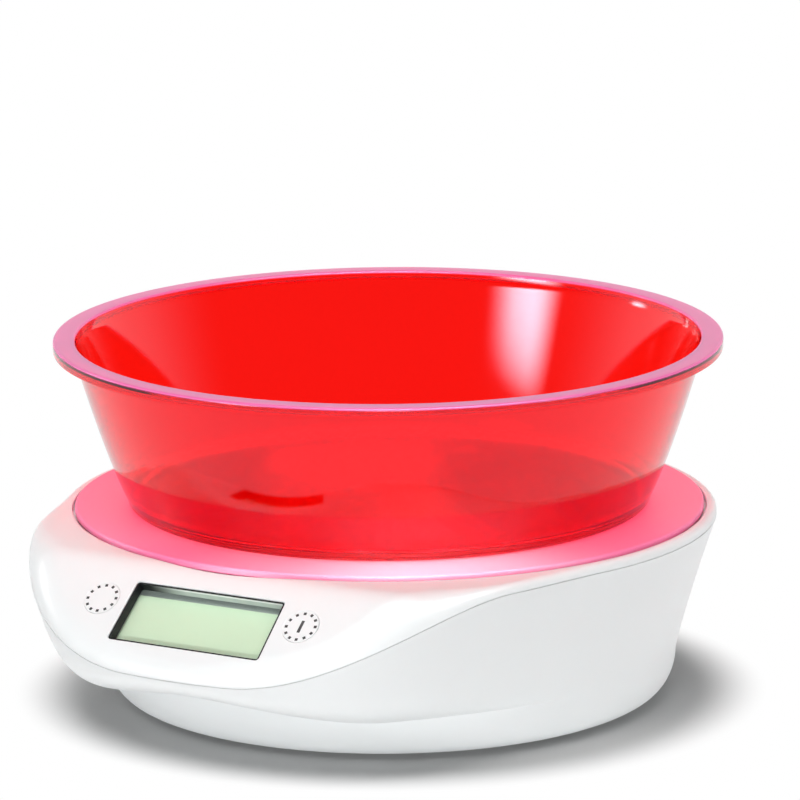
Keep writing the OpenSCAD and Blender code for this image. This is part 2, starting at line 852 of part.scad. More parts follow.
// Load cell: aluminium bar with the double bore that lets it bend, and four screw holes
module load_cell() {
    color("lightsteelblue") on_axis() difference() {
        translate([-cell_l / 2, -cell_w / 2, cell_z]) cube([cell_l, cell_w, cell_w]);
        for (x = [-cell_bore_x, cell_bore_x])
            translate([x, 0, cell_z + cell_w / 2])
                rotate([90, 0, 0]) cylinder(r = cell_bore_r, h = cell_w + 2, center = true, $fn = 64);
        translate([-cell_bore_x, -cell_w / 2 - 1, cell_z + (cell_w - cell_slot_h) / 2])
            cube([2 * cell_bore_x, cell_w + 2, cell_slot_h]);
        for (e = [-1, 1], q = [-0.5, 0.5])
            translate([e * end_x + q * cell_hole_pitch, 0, cell_z - 1])
                cylinder(r = m4_r + pilot_gap, h = cell_w + 2, $fn = 48);
    }
}

// Sealing compound over the strain gauges, above and below the double bore
module gauge_potting() {
    color("whitesmoke") on_axis() {
        for (z = [cell_top, cell_z - potting_t])
            translate([0, 0, z]) linear_extrude(height = potting_t)
                round_rect(potting_l, cell_w - 2 * potting_t, potting_corner);
        translate([potting_x, -cell_w / 2, cell_z + cell_w / 2])
            rotate([90, 0, 0]) cylinder(r = potting_t * 2, h = potting_t, $fn = 32);
    }
}

// Plate with the two screw holes of one end of the load cell
module cell_pad(x) {
    translate([x, 0, 0]) difference() {
        linear_extrude(height = spacer_t) round_rect(pad_l, cell_w, pad_corner);
        for (q = [-0.5, 0.5])
            translate([q * cell_hole_pitch, 0, -1]) cylinder(r = m4_r + hole_gap, h = spacer_t + 2, $fn = 48);
    }
}

module cell_base_spacer() {
    color("gray") on_axis() translate([0, 0, pedestal_z]) cell_pad(-end_x);
}

module cell_top_spacer() {
    color("gray") on_axis() translate([0, 0, cell_top]) cell_pad(end_x);
}

module cell_base_screws() {
    color("silver") on_axis()
        for (q = [-0.5, 0.5])
            translate([-end_x + q * cell_hole_pitch, 0, pedestal_z - cell_seat_t])
                pan_screw(m4_r, cell_seat_t + spacer_t + m4_bite, m4_head_r, m4_head_h);
}

module cell_top_screws() {
    color("silver") on_axis()
        for (q = [-0.5, 0.5])
            translate([end_x + q * cell_hole_pitch, 0, carrier_top]) mirror([0, 0, 1])
                pan_screw(m4_r, carrier_t + spacer_t + m4_bite, m4_head_r, m4_head_h);
}

// Places of the four screws between the carrier and the platform
module at_carrier_holes() {
    for (x = [-carrier_hole_x, carrier_hole_x], y = [-carrier_hole_y, carrier_hole_y])
        translate([x, y, 0]) children();
}

// Steel carrier that joins the load cell's free end to the platform
module platform_carrier() {
    color("silver") on_axis() translate([0, 0, carrier_z]) difference() {
        linear_extrude(height = carrier_t) round_rect(carrier_l, carrier_w, carrier_corner);
        translate([0, 0, -1]) {
            at_carrier_holes() cylinder(r = screw_r + hole_gap, h = carrier_t + 2, $fn = 48);
            for (q = [-0.5, 0.5])
                translate([end_x + q * cell_hole_pitch, 0, 0])
                    cylinder(r = m4_r + hole_gap, h = carrier_t + 2, $fn = 48);
            for (x = carrier_cut_xs)
                translate([x, 0, 0]) cylinder(r = carrier_cut_r, h = carrier_t + 2, $fn = 48);
        }
    }
}

module carrier_screws() {
    color("silver") on_axis() at_carrier_holes()
        translate([0, 0, carrier_z]) pan_screw(screw_r, carrier_t + plate_bite, head_r, head_h);
}

// Weighing platform: plate with a rounded edge, radial ribs, ring rib and screw bosses
module platform_plate() {
    low = scale_h - plate_t;
    rib_h = plate_rib_h + lap;
    color("hotpink") on_axis() {
        rotate_extrude($fn = 96) polygon(concat(
            [[0, low], [platform_r - plate_bevel, low], [platform_r, low + plate_bevel]],
            arc(platform_r - plate_edge, scale_h - plate_edge, plate_edge, 0, 90, 5),
            [[0, scale_h]]
        ));
        translate([0, 0, low - plate_rib_h]) difference() {
            union() {
                difference() {
                    cylinder(r = plate_ring_r, h = rib_h, $fn = 96);
                    translate([0, 0, -1]) cylinder(r = plate_ring_r - plate_rib_t, h = rib_h + 2, $fn = 96);
                }
                for (a = [0:360 / plate_ribs:359])
                    rotate([0, 0, a]) translate([plate_hub_r, -plate_rib_t / 2, 0])
                        cube([plate_ring_r - plate_hub_r - plate_rib_t / 2, plate_rib_t, rib_h]);
            }
            translate([end_x, 0, -1]) cylinder(r = plate_clear_r, h = plate_rib_h + 0.6, $fn = 48);
        }
        at_carrier_holes() difference() {
            translate([0, 0, carrier_top]) cylinder(r = boss_r, h = low + lap - carrier_top, $fn = 48);
            translate([0, 0, carrier_top - 1])
                cylinder(r = screw_r + pilot_gap, h = plate_bite + 2, $fn = 48);
        }
    }
}

// Outer side of the bowl: radius at height z above its underside
function bowl_side_r(z) = bowl_base_r + (bowl_neck_r - bowl_base_r) * pow(z / bowl_neck_h, bowl_curve);

// Mixing bowl with a flat floor, a curved side and a flat rim that turns down
module bowl() {
    rows = 16;
    fillet_z = bowl_floor_t + bowl_fillet;
    foot_in = bowl_side_r(bowl_corner) - bowl_corner;
    floor_r = bowl_side_r(fillet_z) - bowl_t - bowl_fillet;
    outer = [for (k = [0:rows])
        let (z = bowl_corner + (bowl_neck_h - bowl_corner) * k / rows) [bowl_side_r(z), z]];
    inner = [for (k = [rows:-1:0])
        let (z = fillet_z + (bowl_neck_h - fillet_z) * k / rows) [bowl_side_r(z) - bowl_t, z]];
    color("red") on_axis() translate([0, 0, scale_h]) rotate_extrude($fn = 128) polygon(concat(
        [[0, 0]],
        arc(foot_in, bowl_corner, bowl_corner, -90, -15, 5),
        outer,
        [[bowl_neck_r + 1.2, bowl_h - bowl_flange_t], [bowl_rim_r - 2, bowl_h - bowl_flange_t]],
        [[bowl_rim_r - 1.6, bowl_h - bowl_lip_h], [bowl_rim_r - 0.3, bowl_h - bowl_lip_h]],
        [[bowl_rim_r, bowl_h - bowl_lip_h + 0.4]],
        arc(bowl_rim_r - bowl_round, bowl_h - bowl_round, bowl_round, 0, 90, 5),
        arc(bowl_rim_r - bowl_rim_w + bowl_round, bowl_h - bowl_round, bowl_round, 90, 180, 5),
        inner,
        arc(floor_r, fillet_z, bowl_fillet, -15, -90, 6),
        [[0, bowl_floor_t]]
    ));
}

// Circuit board that carries the display and the switches
module main_board() {
    color("darkgreen") on_panel() difference() {
        layer(board_d, board_t) polygon([
            [-board_w / 2, -board_s0], [board_w / 2, -board_s0],
            [board_w / 2, -board_s1], [board_nose_w / 2, -board_s2],
            [-board_nose_w / 2, -board_s2], [-board_w / 2, -board_s1]
        ]);
        for (x = [-stud_x, stud_x], s = stud_s) disc(x, s, board_d - 1, board_t + 2, tap_r + hole_gap);
    }
}

module board_screws() {
    color("silver") on_panel()
        for (x = [-stud_x, stud_x], s = stud_s)
            translate([x, -s, -board_d - board_t])
                pan_screw(tap_r, board_t + board_bite, board_head_r, board_head_h);
}

// Drop of black resin over the controller
module chip_potting() {
    color("black") on_panel() translate([0, -chip_s, -board_d - board_t])
        intersection() {
            translate([0, 0, chip_dome_r - chip_h]) sphere(r = chip_dome_r, $fn = 64);
            translate([-chip_w / 2, -chip_w / 2, -chip_h - 1]) cube([chip_w, chip_w, chip_h + 1]);
        }
}

module board_capacitors() {
    color("navy") on_panel()
        for (x = [-capacitor_x, capacitor_x]) {
            disc(x, capacitor_s, board_d + board_t, 2 * capacitor_r, capacitor_r);
            disc(x, capacitor_s + 3 * capacitor_r, board_d + board_t, 1.6 * capacitor_r, 0.8 * capacitor_r);
        }
}

module clock_crystal() {
    color("silver") on_panel() translate([crystal_x, -crystal_s, -board_d - board_t - crystal_h])
        linear_extrude(height = crystal_h) round_rect(crystal_l, crystal_w, crystal_w / 2 - 0.1);
}

// Plug-in sockets for the leads
module lead_sockets() {
    color("ivory") on_panel()
        for (x = [-socket_x, socket_x])
            translate([x - socket_w / 2, -socket_s - socket_t / 2, -socket_low])
                cube([socket_w, socket_t, socket_h]);
}

module lcd_glass() {
    color("darkseagreen") on_panel()
        layer(window_d + window_t + film_t, glass_t) slope_rect(glass_w, glass_s0, glass_s1);
}

module lcd_polariser() {
    color("palegreen") on_panel()
        layer(window_d + window_t, film_t) slope_rect(glass_w, glass_s0 + film_drop, glass_s1);
}

module display_window() {
    color("lightcyan") on_panel() layer(window_d, window_t) slope_rect(glass_w, glass_s0, glass_s1);
}

// Dark frame: a collar that lines the opening, and a case that holds the glass
module lcd_frame() {
    color("dimgray") on_panel() {
        layer(frame_rise, frame_seat - frame_rise + lap) difference() {
            window_outline(frame_gap);
            window_outline(frame_gap + frame_wall);
        }
        layer(frame_seat, window_d - frame_seat) difference() {
            case_outline();
            window_outline(frame_gap + frame_wall);
        }
        layer(window_d, board_d - window_d) difference() {
            case_outline();
            slope_rect(glass_w + 2 * case_slack, glass_s0 - case_slack, glass_s1 + case_slack);
        }
    }
}

// Rubber strips that join the glass to the board
module lcd_contact_strips() {
    d = window_d + window_t + film_t + glass_t;
    color("slategray") on_panel() layer(d, board_d - d)
        for (s = [glass_s0 + strip_edge, glass_s1 - strip_edge - strip_w])
            slope_rect(glass_w - 2 * strip_side, s, s + strip_w);
}

// Key: round face flush with the panel, flange under it and a stem
module key(x) {
    stem_d = key_flange_d + key_flange_t - lap;
    color("white") on_panel() {
        disc(x, key_s, 0, key_flange_d + lap, key_r);
        disc(x, key_s, key_flange_d, key_flange_t, key_flange_r);
        disc(x, key_s, stem_d, plunger_d - stem_d, key_stem_r);
    }
}

module plunger(x) {
    color("black") on_panel() disc(x, key_s, plunger_d, plunger_l, plunger_r);
}

// Tact switch with the bore that its plunger runs in
module key_switch(x) {
    color("darkgray") on_panel() difference() {
        layer(switch_d, board_d - switch_d) translate([x, -key_s]) square(switch_w, center = true);
        disc(x, key_s, switch_d - 1, plunger_l + key_travel + fit_gap, plunger_r + plunger_gap);
    }
}

module unit_button() { key(-key_x); }
module tare_button() { key(key_x); }
module unit_plunger() { plunger(-key_x); }
module tare_plunger() { plunger(key_x); }
module unit_switch() { key_switch(-key_x); }
module tare_switch() { key_switch(key_x); }

lower_housing();
upper_cover();
rubber_feet();
housing_screws();
battery_door();
battery_cells();
contact_springs();
contact_plates();
battery_leads();
load_cell();
gauge_potting();
cell_base_spacer();
cell_base_screws();
cell_lead();
cell_top_spacer();
cell_top_screws();
platform_carrier();
carrier_screws();
platform_plate();
bowl();
main_board();
board_screws();
chip_potting();
board_capacitors();
clock_crystal();
lead_sockets();
lcd_glass();
lcd_polariser();
lcd_frame();
lcd_contact_strips();
display_window();
unit_button();
tare_button();
unit_plunger();
tare_plunger();
unit_switch();
tare_switch();
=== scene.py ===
"""Looks of the kitchen scale with its bowl: shells, platform, display, bowl, studio and camera."""

import json
import logging
import math
from dataclasses import dataclass
from enum import Enum
from typing import Callable, Dict, List, Optional, Sequence, Tuple, Union

import bpy
from mathutils import Matrix, Vector


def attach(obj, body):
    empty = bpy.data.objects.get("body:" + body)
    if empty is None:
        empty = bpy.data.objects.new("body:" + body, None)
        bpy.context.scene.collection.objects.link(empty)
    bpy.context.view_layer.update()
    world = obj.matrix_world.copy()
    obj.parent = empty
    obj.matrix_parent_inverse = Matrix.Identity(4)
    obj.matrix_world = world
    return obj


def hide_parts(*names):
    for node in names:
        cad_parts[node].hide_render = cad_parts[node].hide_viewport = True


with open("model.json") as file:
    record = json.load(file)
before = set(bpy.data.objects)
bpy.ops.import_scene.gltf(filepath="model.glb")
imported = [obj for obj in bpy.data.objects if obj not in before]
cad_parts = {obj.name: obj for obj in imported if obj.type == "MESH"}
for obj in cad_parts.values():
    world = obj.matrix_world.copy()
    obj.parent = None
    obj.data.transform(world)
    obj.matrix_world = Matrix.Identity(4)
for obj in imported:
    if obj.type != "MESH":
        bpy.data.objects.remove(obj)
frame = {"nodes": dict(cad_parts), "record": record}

LOG = logging.getLogger("kitchen_scale")
MM = 0.001
ON_AXIS = 1e-6
WHITE = (1.0, 1.0, 1.0, 1.0)
BOX_SIDES = ((3, 2, 1, 0), (4, 5, 6, 7), (0, 1, 5, 4), (1, 2, 6, 5), (2, 3, 7, 6), (3, 0, 4, 7))
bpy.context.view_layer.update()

Point2 = Tuple[float, float]
Point3 = Tuple[float, float, float]
Stops = Sequence[Tuple[float, Sequence[float]]]
Piece = bpy.types.Object
Finish = bpy.types.Material
Node = bpy.types.Node
Socket = bpy.types.NodeSocket
Value = Union[Socket, float, Sequence[float]]


class Body(Enum):
    """Names of the bodies that pieces ride on."""

    HOUSING = "housing"
    BOWL = "bowl"
    UNIT_KEY = "unit_key"
    TARE_KEY = "tare_key"


class Shaping(Enum):
    """How a tool changes the piece that it meets."""

    CUT = "DIFFERENCE"
    JOIN = "UNION"


class Axis(Enum):
    """Axes of a piece."""

    X = "X"
    Y = "Y"
    Z = "Z"


class Sum(Enum):
    """Sums that a node can work out."""

    SUBTRACT = "SUBTRACT"
    MULTIPLY = "MULTIPLY"
    MULTIPLY_ADD = "MULTIPLY_ADD"
    MAXIMUM = "MAXIMUM"
    LESS_THAN = "LESS_THAN"
    ABSOLUTE = "ABSOLUTE"


# Small helpers for numbers and meshes


def ease(t: float) -> float:
    """Smooth step from 0 to 1.

    Args:
        t: Place along the step.

    Returns:
        The eased value.
    """
    u = min(max(t, 0.0), 1.0)
    return u * u * (3 - 2 * u)


def soft_min(p: float, q: float, k: float) -> float:
    """Lower of two heights with a rounded change between them.

    Args:
        p: First height.
        q: Second height.
        k: Width of the rounding.

    Returns:
        The rounded minimum.
    """
    return min(p, q) - max(k - abs(p - q), 0.0) ** 2 / (4 * k)


def arc_points(x: float, y: float, r: float, a0: float, a1: float, n: int) -> List[Point2]:
    """Points along an arc.

    Args:
        x: Centre across.
        y: Centre up.
        r: Radius.
        a0: First angle in degrees.
        a1: Last angle in degrees.
        n: Number of steps.

    Returns:
        The n + 1 points.
    """
    angles = [math.radians(a0 + (a1 - a0) * k / n) for k in range(n + 1)]
    return [(x + r * math.cos(a), y + r * math.sin(a)) for a in angles]


def new_object(name: str, mesh: bpy.types.Mesh) -> Piece:
    """Link a mesh into the scene.

    Args:
        name: Name of the piece.
        mesh: Its mesh.

    Returns:
        The new object.
    """
    obj = bpy.data.objects.new(name, mesh)
    bpy.context.scene.collection.objects.link(obj)
    return obj


def mesh_from(name: str, points: Sequence[Sequence[float]], faces: Sequence[Sequence[int]]) -> Piece:
    """Make an object from points in millimetres.

    Args:
        name: Name of the piece.
        points: Corner points in millimetres.
        faces: Corner numbers of each face.

    Returns:
        The new object.
    """
    mesh = bpy.data.meshes.new(name)
    mesh.from_pydata([tuple(c * MM for c in p) for p in points], [], [tuple(f) for f in faces])
    mesh.validate()
    mesh.update()
    return new_object(name, mesh)


def smooth_by_angle(obj: Piece, degrees: float = 35.0) -> None:
    """Shade smooth, with sharp edges where faces meet at more than an angle.

    Args:
        obj: Piece to shade.
        degrees: Angle above which an edge stays sharp.
    """
    obj.data.polygons.foreach_set("use_smooth", [True] * len(obj.data.polygons))
    obj.data.set_sharp_from_angle(angle=math.radians(degrees))
    obj.data.update()


def turned(name: str, profile: Sequence[Point2], axis_y: float, segments: int) -> Piece:
    """Turn a profile about the upright axis.

    Args:
        name: Name of the piece.
        profile: Points of radius and height in millimetres; a radius of 0 closes the form.
        axis_y: Place of the axis in millimetres.
        segments: Number of segments round.

    Returns:
        The turned piece.
    """
    points: List[Point3] = []
    rings: List[List[int]] = []
    for r, z in profile:
        if r <= ON_AXIS:
            points.append((0.0, axis_y, z))
            rings.append([len(points) - 1] * segments)
            continue
        first = len(points)
        for i in range(segments):
            a = 2 * math.pi * i / segments
            points.append((r * math.cos(a), axis_y + r * math.sin(a), z))
        rings.append(list(range(first, first + segments)))
    faces: List[List[int]] = []
    for low, high in zip(rings, rings[1:]):
        for i in range(segments):
            j = (i + 1) % segments
            corners = [low[i], low[j], high[j], high[i]]
            unique = [c for k, c in enumerate(corners) if c not in corners[:k]]
            if len(unique) >= 3:
                faces.append(unique)
    return mesh_from(name, points, faces)


def ring_loft(name: str, section: Callable[[float], List[Point2]], axis_y: float, count: int) -> Piece:
    """Loft a closed ring through one section for every angle from the front.

    Args:
        name: Name of the piece.
        section: Gives the section's points of radius and height at an angle in degrees.
        axis_y: Place of the axis in millimetres.
        count: Number of sections round.

    Returns:
        The lofted ring.
    """
    points: List[Point3] = []
    rings: List[List[Point2]] = []
    for i in range(count):
        angle = 360.0 * i / count
        folded = 360.0 - angle if angle > 180 else angle
        ring = section(folded)
        rings.append(ring)
        s, c = math.sin(math.radians(angle)), math.cos(math.radians(angle))
        points.extend((r * s, axis_y - r * c, z) for r, z in ring)
    rows = len(rings[0])
    faces = []
    for i in range(count):
        j = (i + 1) % count
        for k in range(rows):
            m = (k + 1) % rows
            faces.append([i * rows + k, j * rows + k, j * rows + m, i * rows + m])
    return mesh_from(name, points, faces)


def prism(name: str, outline: Sequence[Point2], z0: float, z1: float, place: Matrix) -> Piece:
    """Straight prism from an outline, put in place by a matrix in millimetres."""
    return frustum(name, outline, outline, z0, z1, place)


def frustum(name: str, low: Sequence[Point2], high: Sequence[Point2], z0: float, z1: float,
            place: Matrix) -> Piece:
    """Straight-sided form between two outlines with as many points, put in place by a matrix.

    Args:
        name: Name of the piece.
        low: Lower outline, counter-clockwise.
        high: Upper outline, counter-clockwise.
        z0: Lower height.
        z1: Upper height.
        place: Matrix from the outlines' axes to the object's, in millimetres.

    Returns:
        The form.
    """
    n = len(low)
    flat = [Vector((x, y, z0)) for x, y in low] + [Vector((x, y, z1)) for x, y in high]
    faces = [list(reversed(range(n))), list(range(n, 2 * n))]
    faces += [[i, (i + 1) % n, n + (i + 1) % n, n + i] for i in range(n)]
    return mesh_from(name, [place @ p for p in flat], faces)


def circle_outline(x: float, y: float, r: float, n: int = 96) -> List[Point2]:
    """Points of a circle, counter-clockwise."""
    return arc_points(x, y, r, 0, 360 * (n - 1) / n, n - 1)


def rounded_outline(corners: Sequence[Point2], r: float, n: int = 5) -> List[Point2]:
    """Round the corners of a convex outline.

    Args:
        corners: Corner points, counter-clockwise.
        r: Corner radius.
        n: Steps in each corner.

    Returns:
        The rounded outline.
    """
    out: List[Point2] = []
    count = len(corners)
    for i in range(count):
        p = Vector(corners[i])
        before = (Vector(corners[i - 1]) - p).normalized()
        after = (Vector(corners[(i + 1) % count]) - p).normalized()
        half = before.angle(after) / 2
        centre = p + (before + after).normalized() * (r / math.sin(half))
        start = p + before * (r / math.tan(half)) - centre
        turn = math.pi - 2 * half
        for k in range(n + 1):
            a = turn * k / n
            out.append((centre.x + start.x * math.cos(a) - start.y * math.sin(a),
                        centre.y + start.x * math.sin(a) + start.y * math.cos(a)))
    return out


def apply_modifiers(obj: Piece) -> None:
    """Bake an object's modifiers into its mesh.

    Args:
        obj: Piece whose modifiers are baked.
    """
    graph = bpy.context.evaluated_depsgraph_get()
    graph.update()
    mesh = bpy.data.meshes.new_from_object(obj.evaluated_get(graph))
    old = obj.data
    obj.modifiers.clear()
    obj.data = mesh
    bpy.data.meshes.remove(old)


def boolean(target: Piece, tools: Sequence[Piece], shaping: Shaping) -> None:
    """Cut or join several tools, then remove them.

    Args:
        target: Piece that is changed.
        tools: Pieces that are cut away or joined.
        shaping: Whether the tools cut the piece or join it.
    """
    for tool in tools:
        modifier = target.modifiers.new("step", "BOOLEAN")
        modifier.operation = shaping.value
        modifier.solver = "EXACT"
        modifier.object = tool
        apply_modifiers(target)
    for tool in tools:
        mesh = tool.data
        bpy.data.objects.remove(tool)
        bpy.data.meshes.remove(mesh)


# Finishes


class Nodes:
    """Short way to build a node tree."""

    def __init__(self, name: str, owner: Optional[bpy.types.World] = None) -> None:
        """Start a material, or the world that is given, with an empty node tree.

        Args:
            name: Name of the material.
            owner: World whose nodes are built in place of a material's.
        """
        self.owner = bpy.data.materials.new(name) if owner is None else owner
        self.owner.use_nodes = True
        self.tree = self.owner.node_tree
        self.tree.nodes.clear()

    def add(self, kind: str, **values: object) -> Node:
        """Add a node.

        Args:
            kind: Node type.
            values: Attributes of the node.

        Returns:
            The node.
        """
        node = self.tree.nodes.new(kind)
        for key, value in values.items():
            setattr(node, key, value)
        return node

    def link(self, source: Socket, target: Socket) -> None:
        """Link two sockets."""
        self.tree.links.new(source, target)

    def feed(self, value: Value, target: Socket) -> None:
        """Link a socket to another one, or set a plain value on it.

        Args:
            value: Socket or plain value.
            target: Socket that gets it.
        """
        if isinstance(value, Socket):
            self.link(value, target)
        else:
            target.default_value = value

    def where(self) -> Socket:
        """Object coordinates."""
        return self.add("ShaderNodeTexCoord").outputs["Object"]

    def along(self, axis: Axis) -> Socket:
        """One of the object coordinates.

        Args:
            axis: Axis that it is measured along.

        Returns:
            The coordinate's socket.
        """
        split = self.add("ShaderNodeSeparateXYZ")
        self.link(self.where(), split.inputs["Vector"])
        return split.outputs[axis.value]

    def calc(self, kind: Sum, *values: Value) -> Socket:
        """Work out a value from sockets and numbers.

        Args:
            kind: Kind of sum.
            values: What goes into it, in order.

        Returns:
            The result's socket.
        """
        node = self.add("ShaderNodeMath", operation=kind.value)
        for value, target in zip(values, node.inputs):
            self.feed(value, target)
        return node.outputs["Value"]

    def dot(self, vector: Socket, way: Point3) -> Socket:
        """Length of a vector along a direction.

        Args:
            vector: Socket with the vector.
            way: The direction.

        Returns:
            The length's socket.
        """
        node = self.add("ShaderNodeVectorMath", operation="DOT_PRODUCT")
        node.inputs[1].default_value = way
        self.link(vector, node.inputs[0])
        return node.outputs["Value"]

    def share(self, value: Socket, start: float, end: float, soft: bool = True,
              low: float = 0.0) -> Socket:
        """How far a value has come from a start to an end.

        Args:
            value: Socket with the value.
            start: Value at which the share is lowest.
            end: Value at which the share is 1.
            soft: Whether the change eases in and out.
            low: The lowest share.

        Returns:
            The share's socket.
        """
        node = self.add("ShaderNodeMapRange", interpolation_type="SMOOTHSTEP" if soft else "LINEAR")
        node.inputs["From Min"].default_value = start
        node.inputs["From Max"].default_value = end
        node.inputs["To Min"].default_value = low
        self.link(value, node.inputs["Value"])
        return node.outputs["Result"]

    def noise(self, scale: float, detail: float = 3.0, stretch: Point3 = (1.0, 1.0, 1.0)) -> Socket:
        """Noise in object coordinates.

        Args:
            scale: Repeats per metre.
            detail: Octaves.
            stretch: Stretch along each axis.

        Returns:
            The noise value's socket.
        """
        mapping = self.add("ShaderNodeMapping")
        mapping.inputs["Scale"].default_value = stretch
        noise = self.add("ShaderNodeTexNoise")
        noise.inputs["Scale"].default_value = scale
        noise.inputs["Detail"].default_value = detail
        self.link(self.where(), mapping.inputs["Vector"])
        self.link(mapping.outputs["Vector"], noise.inputs["Vector"])
        return noise.outputs["Fac"]

    def ramp(self, value: Socket, stops: Stops) -> Socket:
        """Colour ramp over a value.

        Args:
            value: Socket that drives the ramp.
            stops: Places and colours.

        Returns:
            The colour socket.
        """
        ramp = self.add("ShaderNodeValToRGB")
        elements = ramp.color_ramp.elements
        while len(elements) < len(stops):
            elements.new(0.5)
        for element, (place, colour) in zip(elements, stops):
            element.position = place
            element.color = (*colour, 1.0)
        self.link(value, ramp.inputs["Fac"])
        return ramp.outputs["Color"]

    def clouds(self, value: Socket, low: Sequence[float], high: Sequence[float],
               end: float = 0.7) -> Socket:
        """Slow drift between two colours over a noise value.

        Args:
            value: Socket with the noise.
            low: Colour where the noise is low.
            high: Colour where the noise is high.
            end: Noise at which the second colour is reached.

        Returns:
            The colour socket.
        """
        start = 0.3
        return self.ramp(value, [(start, low), (end, high)])

    def tint(self, share: Socket, first: Value, second: Value) -> Socket:
        """Mix two colours.

        Args:
            share: Socket with the share of the second colour.
            first: Colour at share 0.
            second: Colour at share 1.

        Returns:
            The mixed colour's socket.
        """
        node = self.add("ShaderNodeMix", data_type="RGBA")
        self.link(share, node.inputs["Factor"])
        self.feed(first, node.inputs["A"])
        self.feed(second, node.inputs["B"])
        return node.outputs["Result"]

    def spread(self, value: Socket, low: float, high: float) -> Socket:
        """Map a 0 to 1 value to a range.

        Args:
            value: Socket with the value.
            low: Result at 0.
            high: Result at 1.

        Returns:
            The mapped socket.
        """
        mapped = self.add("ShaderNodeMapRange")
        mapped.inputs["To Min"].default_value = low
        mapped.inputs["To Max"].default_value = high
        self.link(value, mapped.inputs["Value"])
        return mapped.outputs["Result"]

    def bump(self, height: Socket, strength: float, distance: float) -> Socket:
        """Bump from a height.

        Args:
            height: Socket with the height.
            strength: Strength of the bump.
            distance: Real height in metres.

        Returns:
            The normal socket.
        """
        node = self.add("ShaderNodeBump")
        node.inputs["Strength"].default_value = strength
        node.inputs["Distance"].default_value = distance
        self.link(height, node.inputs["Height"])
        return node.outputs["Normal"]

    def blend(self, share: Socket, first: Node, second: Node) -> Node:
        """Mix two shaders.

        Args:
            share: Socket with the share of the second shader.
            first: Shader at share 0.
            second: Shader at share 1.

        Returns:
            The mixed shader's node.
        """
        mix = self.add("ShaderNodeMixShader")
        self.link(share, mix.inputs["Fac"])
        self.link(first.outputs[0], mix.inputs[1])
        self.link(second.outputs[0], mix.inputs[2])
        return mix

    def unbounced(self) -> Socket:
        """1 for light that met no dull surface on its way, else 0."""
        return self.calc(Sum.LESS_THAN, self.add("ShaderNodeLightPath").outputs["Diffuse Depth"], 0.5)

    def finish(self, shader: Node, output: str = "ShaderNodeOutputMaterial") -> Finish:
        """Link the shader to the output.

        Args:
            shader: Node of the last shader.
            output: Type of the output node.

        Returns:
            The material, or the world.
        """
        self.link(shader.outputs[0], self.add(output).inputs["Surface"])
        return self.owner


@dataclass(frozen=True)
class Plastic:
    """Moulded plastic, rubber, resin or paint, slightly uneven in colour, gloss and surface."""

    name: str
    colour: Point3
    drift: float = 0.03
    roughness: Tuple[float, float] = (0.2, 0.3)
    coat: float = 0.0
    coat_roughness: float = 0.08
    scatter: float = 0.0
    scatter_reach: Point3 = (0.0012, 0.001, 0.0009)
    gloss: float = 0.5
    cloud_scale: float = 18.0
    grain: float = 900.0
    octaves: float = 4.0
    relief: float = 0.02
    relief_height: float = 0.00005

    def build(self) -> Finish:
        """Build the material.

        Returns:
            The material.
        """
        n = Nodes(self.name)
        shader = n.add("ShaderNodeBsdfPrincipled")
        low = [max(c * (1 - self.drift), 0.0) for c in self.colour]
        high = [min(c * (1 + self.drift), 1.0) for c in self.colour]
        broad = n.noise(self.cloud_scale, self.octaves)
        n.link(n.clouds(broad, low, high), shader.inputs["Base Color"])
        fine = n.noise(self.grain, self.octaves)
        n.link(n.spread(fine, *self.roughness), shader.inputs["Roughness"])
        n.link(n.bump(fine, self.relief, self.relief_height), shader.inputs["Normal"])
        shader.inputs["Specular IOR Level"].default_value = self.gloss
        shader.inputs["Coat Weight"].default_value = self.coat
        shader.inputs["Coat Roughness"].default_value = self.coat_roughness
        if self.scatter > 0:
            shader.inputs["Subsurface Weight"].default_value = self.scatter
            shader.inputs["Subsurface Radius"].default_value = self.scatter_reach
            shader.inputs["Subsurface Scale"].default_value = 1.0
        return n.finish(shader)


